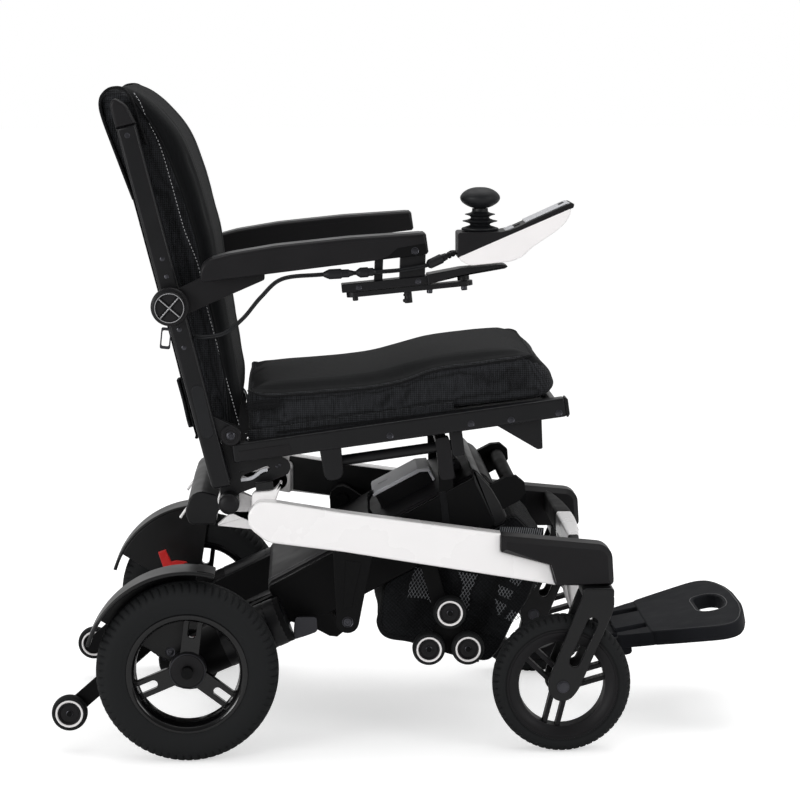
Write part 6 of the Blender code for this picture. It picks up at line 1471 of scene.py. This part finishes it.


# Chassis arms, gear motors with their covers and lugs, and the brake levers

for side, sign in SIDES:
    # The gear motors are in the painted-shade black, for the shade under the rails
    dressed(f"drive_motor_{side}", f"gear_motor_{side}", SHADE_BLACK, 0.0015)
    grip = [(-0.0588, 0.1893), (-0.0660, 0.2120), (-0.0540, 0.2160), (-0.0451, 0.1966), (-0.0379, 0.1981),
            (-0.0220, 0.1964), (-0.0149, 0.1890), (-0.0189, 0.1850), (-0.0508, 0.1836)]
    piece(f"release_lever_{side}", [plate(grip, sign * 0.1793, sign * 0.1863, 0.0012),
                                    plate(circle((-0.020, 0.1845), 0.0070, 40), sign * 0.1793, sign * 0.1863,
                                          0.0012)], RED,
          f"lever_{side[0]}", f"brake_lever_{side}")
    ahead = (math.cos(math.radians(23)), 0, math.sin(math.radians(23)))
    barrel = [(0, 0.1530), (0.0235, 0.1530), (0.0250, 0.1522), (0.0262, 0.1500), (0.0305, 0.1488),
              (0.0336, 0.1455), (0.0345, 0.1410), (0.0345, 0.1290), (0.0338, 0.1280), (0.0338, 0.1265),
              (0.0345, 0.1255), (0.0345, 0.0560), (0.0340, 0.0550), (0, 0.0550)]
    piece(f"motor_barrel_{side}", [turned(barrel, (AXLE[0], sign * 0.2008, AXLE[1]), ahead, 72)], BLACK,
          "chassis")
    lug = [(0.1530, 0.1905), (0.1500, 0.1560), (0.1700, 0.1620), (0.1860, 0.1680), (0.1850, 0.1905)]
    covers = [plate(circle(AXLE, 0.0440, 72), sign * 0.2025, sign * 0.2042, 0.0010),
              plate(circle(AXLE, 0.0300, 56), sign * 0.2035, sign * 0.2050, 0.0008)]
    piece(f"gear_cover_{side}", covers, SATIN, "chassis")
    piece(f"motor_lug_{side}", [plate(eased(lug, 0.005, 4), sign * 0.1920, sign * 0.1990, 0.0012)], GREY_CAST,
          "chassis")
    piece(f"gear_cover_bolts_{side}", screws(arc(0.037, 35, 323, 5), sign * 0.2042, sign, 0.0030), ZINC,
          "chassis")
# The chassis arms are in the painted-shade black, for the shade under the seat
dressed("chassis_frame", "chassis_arms", SHADE_BLACK, 0.0015)


# Battery bay: the case, its two side panels, the rounded front band and the zip along the panel's foot

dressed("battery_bay", "bay_case", MOULDED, 0.003)
band_line = [(0.4120, 0.4010), (0.4190, 0.3985), (0.4290, 0.3875), (0.4420, 0.3730), (0.4555, 0.3500),
             (0.4640, 0.3290),
             (0.4590, 0.3205), (0.4448, 0.3149), (0.4300, 0.3477), (0.4152, 0.3789)]
for side, sign in SIDES:
    # The side panels are drawn in the painted-shade black, for the shade under the seat
    outline = beam([(0.002, -0.002), (0.345, -0.002), (0.345, -0.0800), (0.022, -0.0800), (0.004, -0.060)])
    piece(f"bay_side_panel_{side}", [plate(eased(outline, 0.008, 5), sign * 0.1490, sign * 0.1663, 0.0030,
                                           4)], SHADE_BLACK,
          "chassis")
    ridge = plate(beam(slab(0.010, 0.344, -0.0032, -0.0018)), sign * 0.1640, sign * 0.1670, 0.0006, 2)
    piece(f"bay_top_ridge_{side}", [ridge], LACQUER, "chassis")
    bright = plate(beam(slab(0.0067, 0.0927, 0.0035, 0.0043)), sign * 0.1470, sign * 0.1499, 0.0003, 2)
    piece(f"bay_panel_line_{side}", [bright], ZINC, "chassis")
    teeth = [plate(at + np.array([(-0.0007, -0.0009), (0.0007, -0.0005), (0.0007, 0.0009),
                                  (-0.0007, 0.0005)]),
                   sign * 0.1655, sign * 0.1672, 0.0002, 1)
             for at in np.linspace((0.4600, 0.3185), (0.4097, 0.2914), 34)]
    piece(f"bay_zip_{side}", teeth, ZINC, "chassis", level=False)
    strap = flowing([(0.3690, sign * 0.1664, 0.3675), (0.3722, sign * 0.1664, 0.3450),
                     (0.3745, sign * 0.1662, 0.3210)],
                    14)
    piece(f"bay_strap_{side}", [banded(strap, 0.0100, 0.0016, (1, 0, 0))], WEBBING, "chassis")
band = plate(eased(band_line, 0.004, 4), -0.1668, 0.1668, 0.0040, 5)
piece("bay_front_band", [band], SATIN, "chassis")
thin = eased(slab(-0.0012, 0.0012, -0.0012, 0.0012), 0.0008, 3)
ridges = [plate(thin + at, -0.158, 0.158, 0.0008, 2) for at in ((0.4300, 0.3866), (0.4560, 0.3497))]
piece("bay_band_ridges", ridges, LACQUER, "chassis")
catches = [plate(eased(beam(slab(0.306, 0.334, 0.0010, 0.0190)), 0.003, 4), -0.070, -0.030, 0.002),
           plate(eased(beam(slab(0.300, 0.322, 0.0, 0.010)), 0.002, 4), -0.122, -0.078, 0.0015)]
piece("bay_latch", catches, MOULDED, "chassis")
heads = screws([beam((0.3255, 0.0120))], -0.070, -1, 0.0035) + screws([beam((0.312, 0.005))], -0.122, -1,
                                                                      0.0026)
piece("bay_latch_bolts", heads, ZINC, "chassis")

dressed("battery_pack", "battery_case", MOULDED, 0.0015)
# The lid takes the paler grey, painted light for the seat's shade over it
dressed("battery_lid", "battery_cover", LID_GREY_LIT, 0.0009)
leads = []
for k, away in enumerate((-0.040, -0.032, -0.047)):
    stops = [(0.278 - 0.002 * k, away, 0.3460), (0.2700 - 0.003 * k, away - 0.004, 0.3445),
             (0.2640, away - 0.003, 0.3320), (0.2650, away, 0.3180), (0.2720, away, 0.3090)]
    leads.append(swept(flowing(stops, 22), 0.0021, 10))
piece("battery_leads", leads, RUBBER, "chassis")


# Rear beam with its grab loop, the slide blocks and the controller's folding link

dressed("rear_cross_beam", "rear_beam", BLACK, 0.0018)
horn = flowing([(0.0139, 0.3500), (-0.0034, 0.3390), (-0.0150, 0.3240)], 18)
for side, sign in SIDES:
    tongue = [(-0.0040, 0.3235), (0.0190, 0.3218), (0.0190, 0.3242), (-0.0036, 0.3262)]
    piece(f"rear_horn_{side}", [banded(at_y(horn, sign * 0.120), 0.0110, 0.0036, (0, 1, 0), 0.8, 4),
                                plate(tongue, sign * 0.115, sign * 0.125, 0.0006, 2)], WHITE, "front_frame")
    block = eased([(0.0985, 0.3785), (0.1235, 0.3815), (0.1225, 0.3935), (0.0975, 0.3905)], 0.002, 3)
    piece(f"rail_hinge_block_{side}", [plate(block, sign * 0.2050, sign * 0.2150, 0.0012)], SATIN,
          "front_frame")
dressed("slide_carriage", "slide_blocks", MOULDED, 0.0012)
dressed("controller_mount", "control_bar", BLACK, 0.0012)
dressed("swing_arm", "control_link", BLACK, 0.0012)
near = CONTROL_Y - 0.0140
upright_axis = (-math.sin(math.radians(MOUNT_TILT)), 0, math.cos(math.radians(MOUNT_TILT)))
wedge = [(0.3414, 0.6937), (0.3886, 0.7026), (0.4507, 0.7074), (0.4558, 0.7053), (0.4521, 0.7021),
         (0.3886, 0.6910), (0.3433, 0.6800)]
pin_at = mount((0.1545, 0.0))
spacer = [(0, -0.0100), (0.0042, -0.0100), (0.0042, 0.0042), (0.0085, 0.0046), (0.0085, 0.0140), (0, 0.0140)]
piece("control_plate", [plate(eased(wedge, 0.002, 4), CONTROL_Y - 0.020, CONTROL_Y + 0.020, 0.0016, 3),
                        turned(spacer, (pin_at[0], CONTROL_Y, pin_at[1]), upright_axis, 32)], BLACK,
      "controller", "swing_plate")
piece("control_bar_bolts", screws(mount([(0.0060, 0.0100), (0.0900, 0.0100)]), near, -1, 0.0042), ZINC,
      "armrest_r")
thumb = [(0, -0.0290), (0.0040, -0.0290), (0.0062, -0.0280), (0.0066, -0.0262), (0.0062, -0.0244),
         (0.0044, -0.0236), (0.0044, -0.0200), (0.0058, -0.0196), (0.0058, -0.0170), (0, -0.0170)]
at = mount((0.0745, 0.0))
piece("link_thumb_screw", [turned(thumb, (at[0], CONTROL_Y, at[1] + 0.0095), (0, 0, 1), 40)], MOULDED,
      "swing_link")
nut = [(0, -0.0092), (0.0032, -0.0092), (0.0042, -0.0082), (0.0042, -0.0042), (0.0054, -0.0038),
       (0.0054, -0.0030), (0, -0.0030)]
for u, name, body in ((0.1058, "link_nut", "swing_link"), (0.1545, "control_plate_nut", "controller")):
    at = mount((u, 0.0))
    piece(name, [turned(nut, (at[0], CONTROL_Y - 0.004, at[1]), (0, 0, 1), 24)], ZINC, body)
# A thin dark plate over the armrest's front end: painted shade for its recess
recess_shade = arm([(ARM_LENGTH - 0.0680, 0.0006), (ARM_LENGTH - 0.0030, 0.0006), (ARM_LENGTH - 0.0030, 0.0160),
              (ARM_LENGTH - 0.0430, 0.0140), (ARM_LENGTH - 0.0560, 0.0050)])
piece("arm_end_recess", [plate(eased(recess_shade, 0.002, 3), -0.2658, -0.2640, 0.0004, 2)], SHADE_BLACK, "armrest_r")
piece("arm_end_bolt", screws([(0.3244, 0.7274)], -0.2657, -1, 0.0052), ZINC, "armrest_r")
for place in frame["nodes"]["joystick_gimbal"].material_slots:
    place.material = ZINC


# Controller cable, from the controller's back to the front of the right back tube

CABLE_STOPS = [(0.3829, -0.2485, 0.7240), (0.3757, -0.2485, 0.7238), (0.3660, -0.2530, 0.7175),
               (0.3430, -0.2612, 0.7075), (0.3014, -0.2612, 0.7000), (0.2420, -0.2612, 0.6965),
               (0.1900, -0.2602, 0.6940), (0.1378, -0.2480, 0.6870), (0.1081, -0.2400, 0.6610),
               (0.0825, -0.2300, 0.6300), (0.0550, -0.2180, 0.6075), (0.0270, -0.2070, 0.6010),
               (0.0104, -0.2050, 0.6016)]
route = flowing(CABLE_STOPS, 160)
beside = unit(np.cross(np.gradient(route, axis=0), (0.0, 1.0, 0.0))) * 0.0014
cores = [swept(route + beside, 0.0016, 12), swept(route - beside, 0.0016, 12)]
cable = piece("controller_lead", cores, RUBBER, "armrest_r", "control_cable", level=False)


def sleeve(name, start, end, profile):
    """A moulding turned about the line between two points of the lead: (radius, share of the way)."""
    start, end = np.array(start), np.array(end)
    far = float(np.linalg.norm(end - start))
    shell = turned([(r, k * far) for r, k in profile], start, tuple((end - start) / far), 32)
    return piece(name, [shell], RUBBER, "armrest_r")


relief = [(0, 0), (0.0050, 0), (0.0050, 0.16), (0.0034, 0.19), (0.0034, 0.29), (0.0048, 0.32), (0.0048, 0.48),
          (0.0034, 0.51), (0.0034, 0.61), (0.0044, 0.64), (0.0044, 0.80), (0.0032, 0.83), (0.0032, 1.0),
          (0, 1.0)]
plug = [(0, 0), (0.0050, 0), (0.0068, 0.10), (0.0070, 0.80), (0.0054, 0.88), (0.0054, 1.0), (0, 1.0)]
joint = [(0, 0), (0.0034, 0), (0.0058, 0.12), (0.0072, 0.20), (0.0072, 0.58), (0.0058, 0.62), (0.0058, 0.84),
         (0.0046, 0.88), (0.0034, 1.0), (0, 1.0)]
moulded = [sleeve("lead_relief", (0.3665, -0.2528, 0.7178), (0.3829, -0.2485, 0.7240), relief),
           sleeve("lead_plug", (0.3430, -0.2612, 0.7075), (0.3662, -0.2529, 0.7176), plug),
           sleeve("lead_joint_front", (0.2420, -0.2612, 0.6965), (0.2700, -0.2613, 0.6983), joint),
           sleeve("lead_joint_rear", (0.1960, -0.2604, 0.6943), (0.2380, -0.2611, 0.6963), joint)]
route = route + (X0, 0, 0)


# Floor, sky and lamps: a white room that the camera sees as plain white

floor_mesh = bpy.data.meshes.new("floor")
floor_mesh.from_pydata([(-30, -30, 0), (30, -30, 0), (30, 30, 0), (-30, 30, 0)], [], [(0, 1, 2, 3)])
floor = bpy.data.objects.new("floor", floor_mesh)
bpy.context.scene.collection.objects.link(floor)
paper = bpy.data.materials.new("white_floor_paper")
paper.use_nodes = True
tree = paper.node_tree
tree.nodes.clear()
matt = add(tree, "BsdfDiffuse", {"Color": linear("#e6e6e6")})
rays = add(tree, "LightPath")
glow = add(tree, "Emission", {"Color": (1, 1, 1, 1), "Strength": 0.52})
clear = add(tree, "MixShader", {0: rays.outputs["Is Camera Ray"], 2: glow.outputs[0]})
both = add(tree, "AddShader", {0: matt.outputs[0], 1: clear.outputs[0]})
add(tree, "OutputMaterial", {"Surface": both.outputs[0]})
floor_mesh.materials.append(paper)

world = bpy.data.worlds.new("studio")
bpy.context.scene.world = world
world.use_nodes = True
tree = world.node_tree
tree.nodes.clear()
rays = add(tree, "LightPath")
seen = add(tree, "Math", {0: rays.outputs["Is Camera Ray"], 1: rays.outputs["Is Transmission Ray"]},
           operation="MAXIMUM")
toward = add(tree, "SeparateXYZ", {0: add(tree, "TexCoord").outputs["Generated"]})
behind = add(tree, "MapRange", {"Value": toward.outputs[1], "From Min": -0.75, "From Max": 0.05,
                                "To Min": 0.20,
                                "To Max": 0.60}, interpolation_type="SMOOTHSTEP")
mirrored = add(tree, "Background", {"Color": (1, 1, 1, 1), "Strength": behind.outputs[0]})
plain = add(tree, "Background", {"Color": (1, 1, 1, 1), "Strength": 0.62})
bright = add(tree, "Background", {"Color": (1, 1, 1, 1), "Strength": 1.0})
soft = add(tree, "MixShader", {0: rays.outputs["Is Glossy Ray"], 1: plain.outputs[0], 2: mirrored.outputs[0]})
mixed = add(tree, "MixShader", {0: seen.outputs[0], 1: soft.outputs[0], 2: bright.outputs[0]})
add(tree, "OutputWorld", {"Surface": mixed.outputs[0]})


def softbox(name, place, aim, size, watts):
    lamp = bpy.data.lights.new(name, "AREA")
    lamp.shape, lamp.size, lamp.size_y, lamp.energy = "RECTANGLE", size[0], size[1], watts
    made = bpy.data.objects.new(name, lamp)
    bpy.context.scene.collection.objects.link(made)
    made.location = place
    made.rotation_euler = (Vector(aim) - Vector(place)).to_track_quat("-Z", "Y").to_euler()


softbox("overhead", (0.0, 0.5, 3.2), (0, 0, 0.4), (3.0, 2.2), 34)
softbox("front_left", (-3.0, -3.0, 1.15), (0, 0, 0.40), (1.6, 1.2), 58)
softbox("front_right", (3.2, -2.6, 1.8), (0, 0, 0.40), (1.6, 1.6), 36)
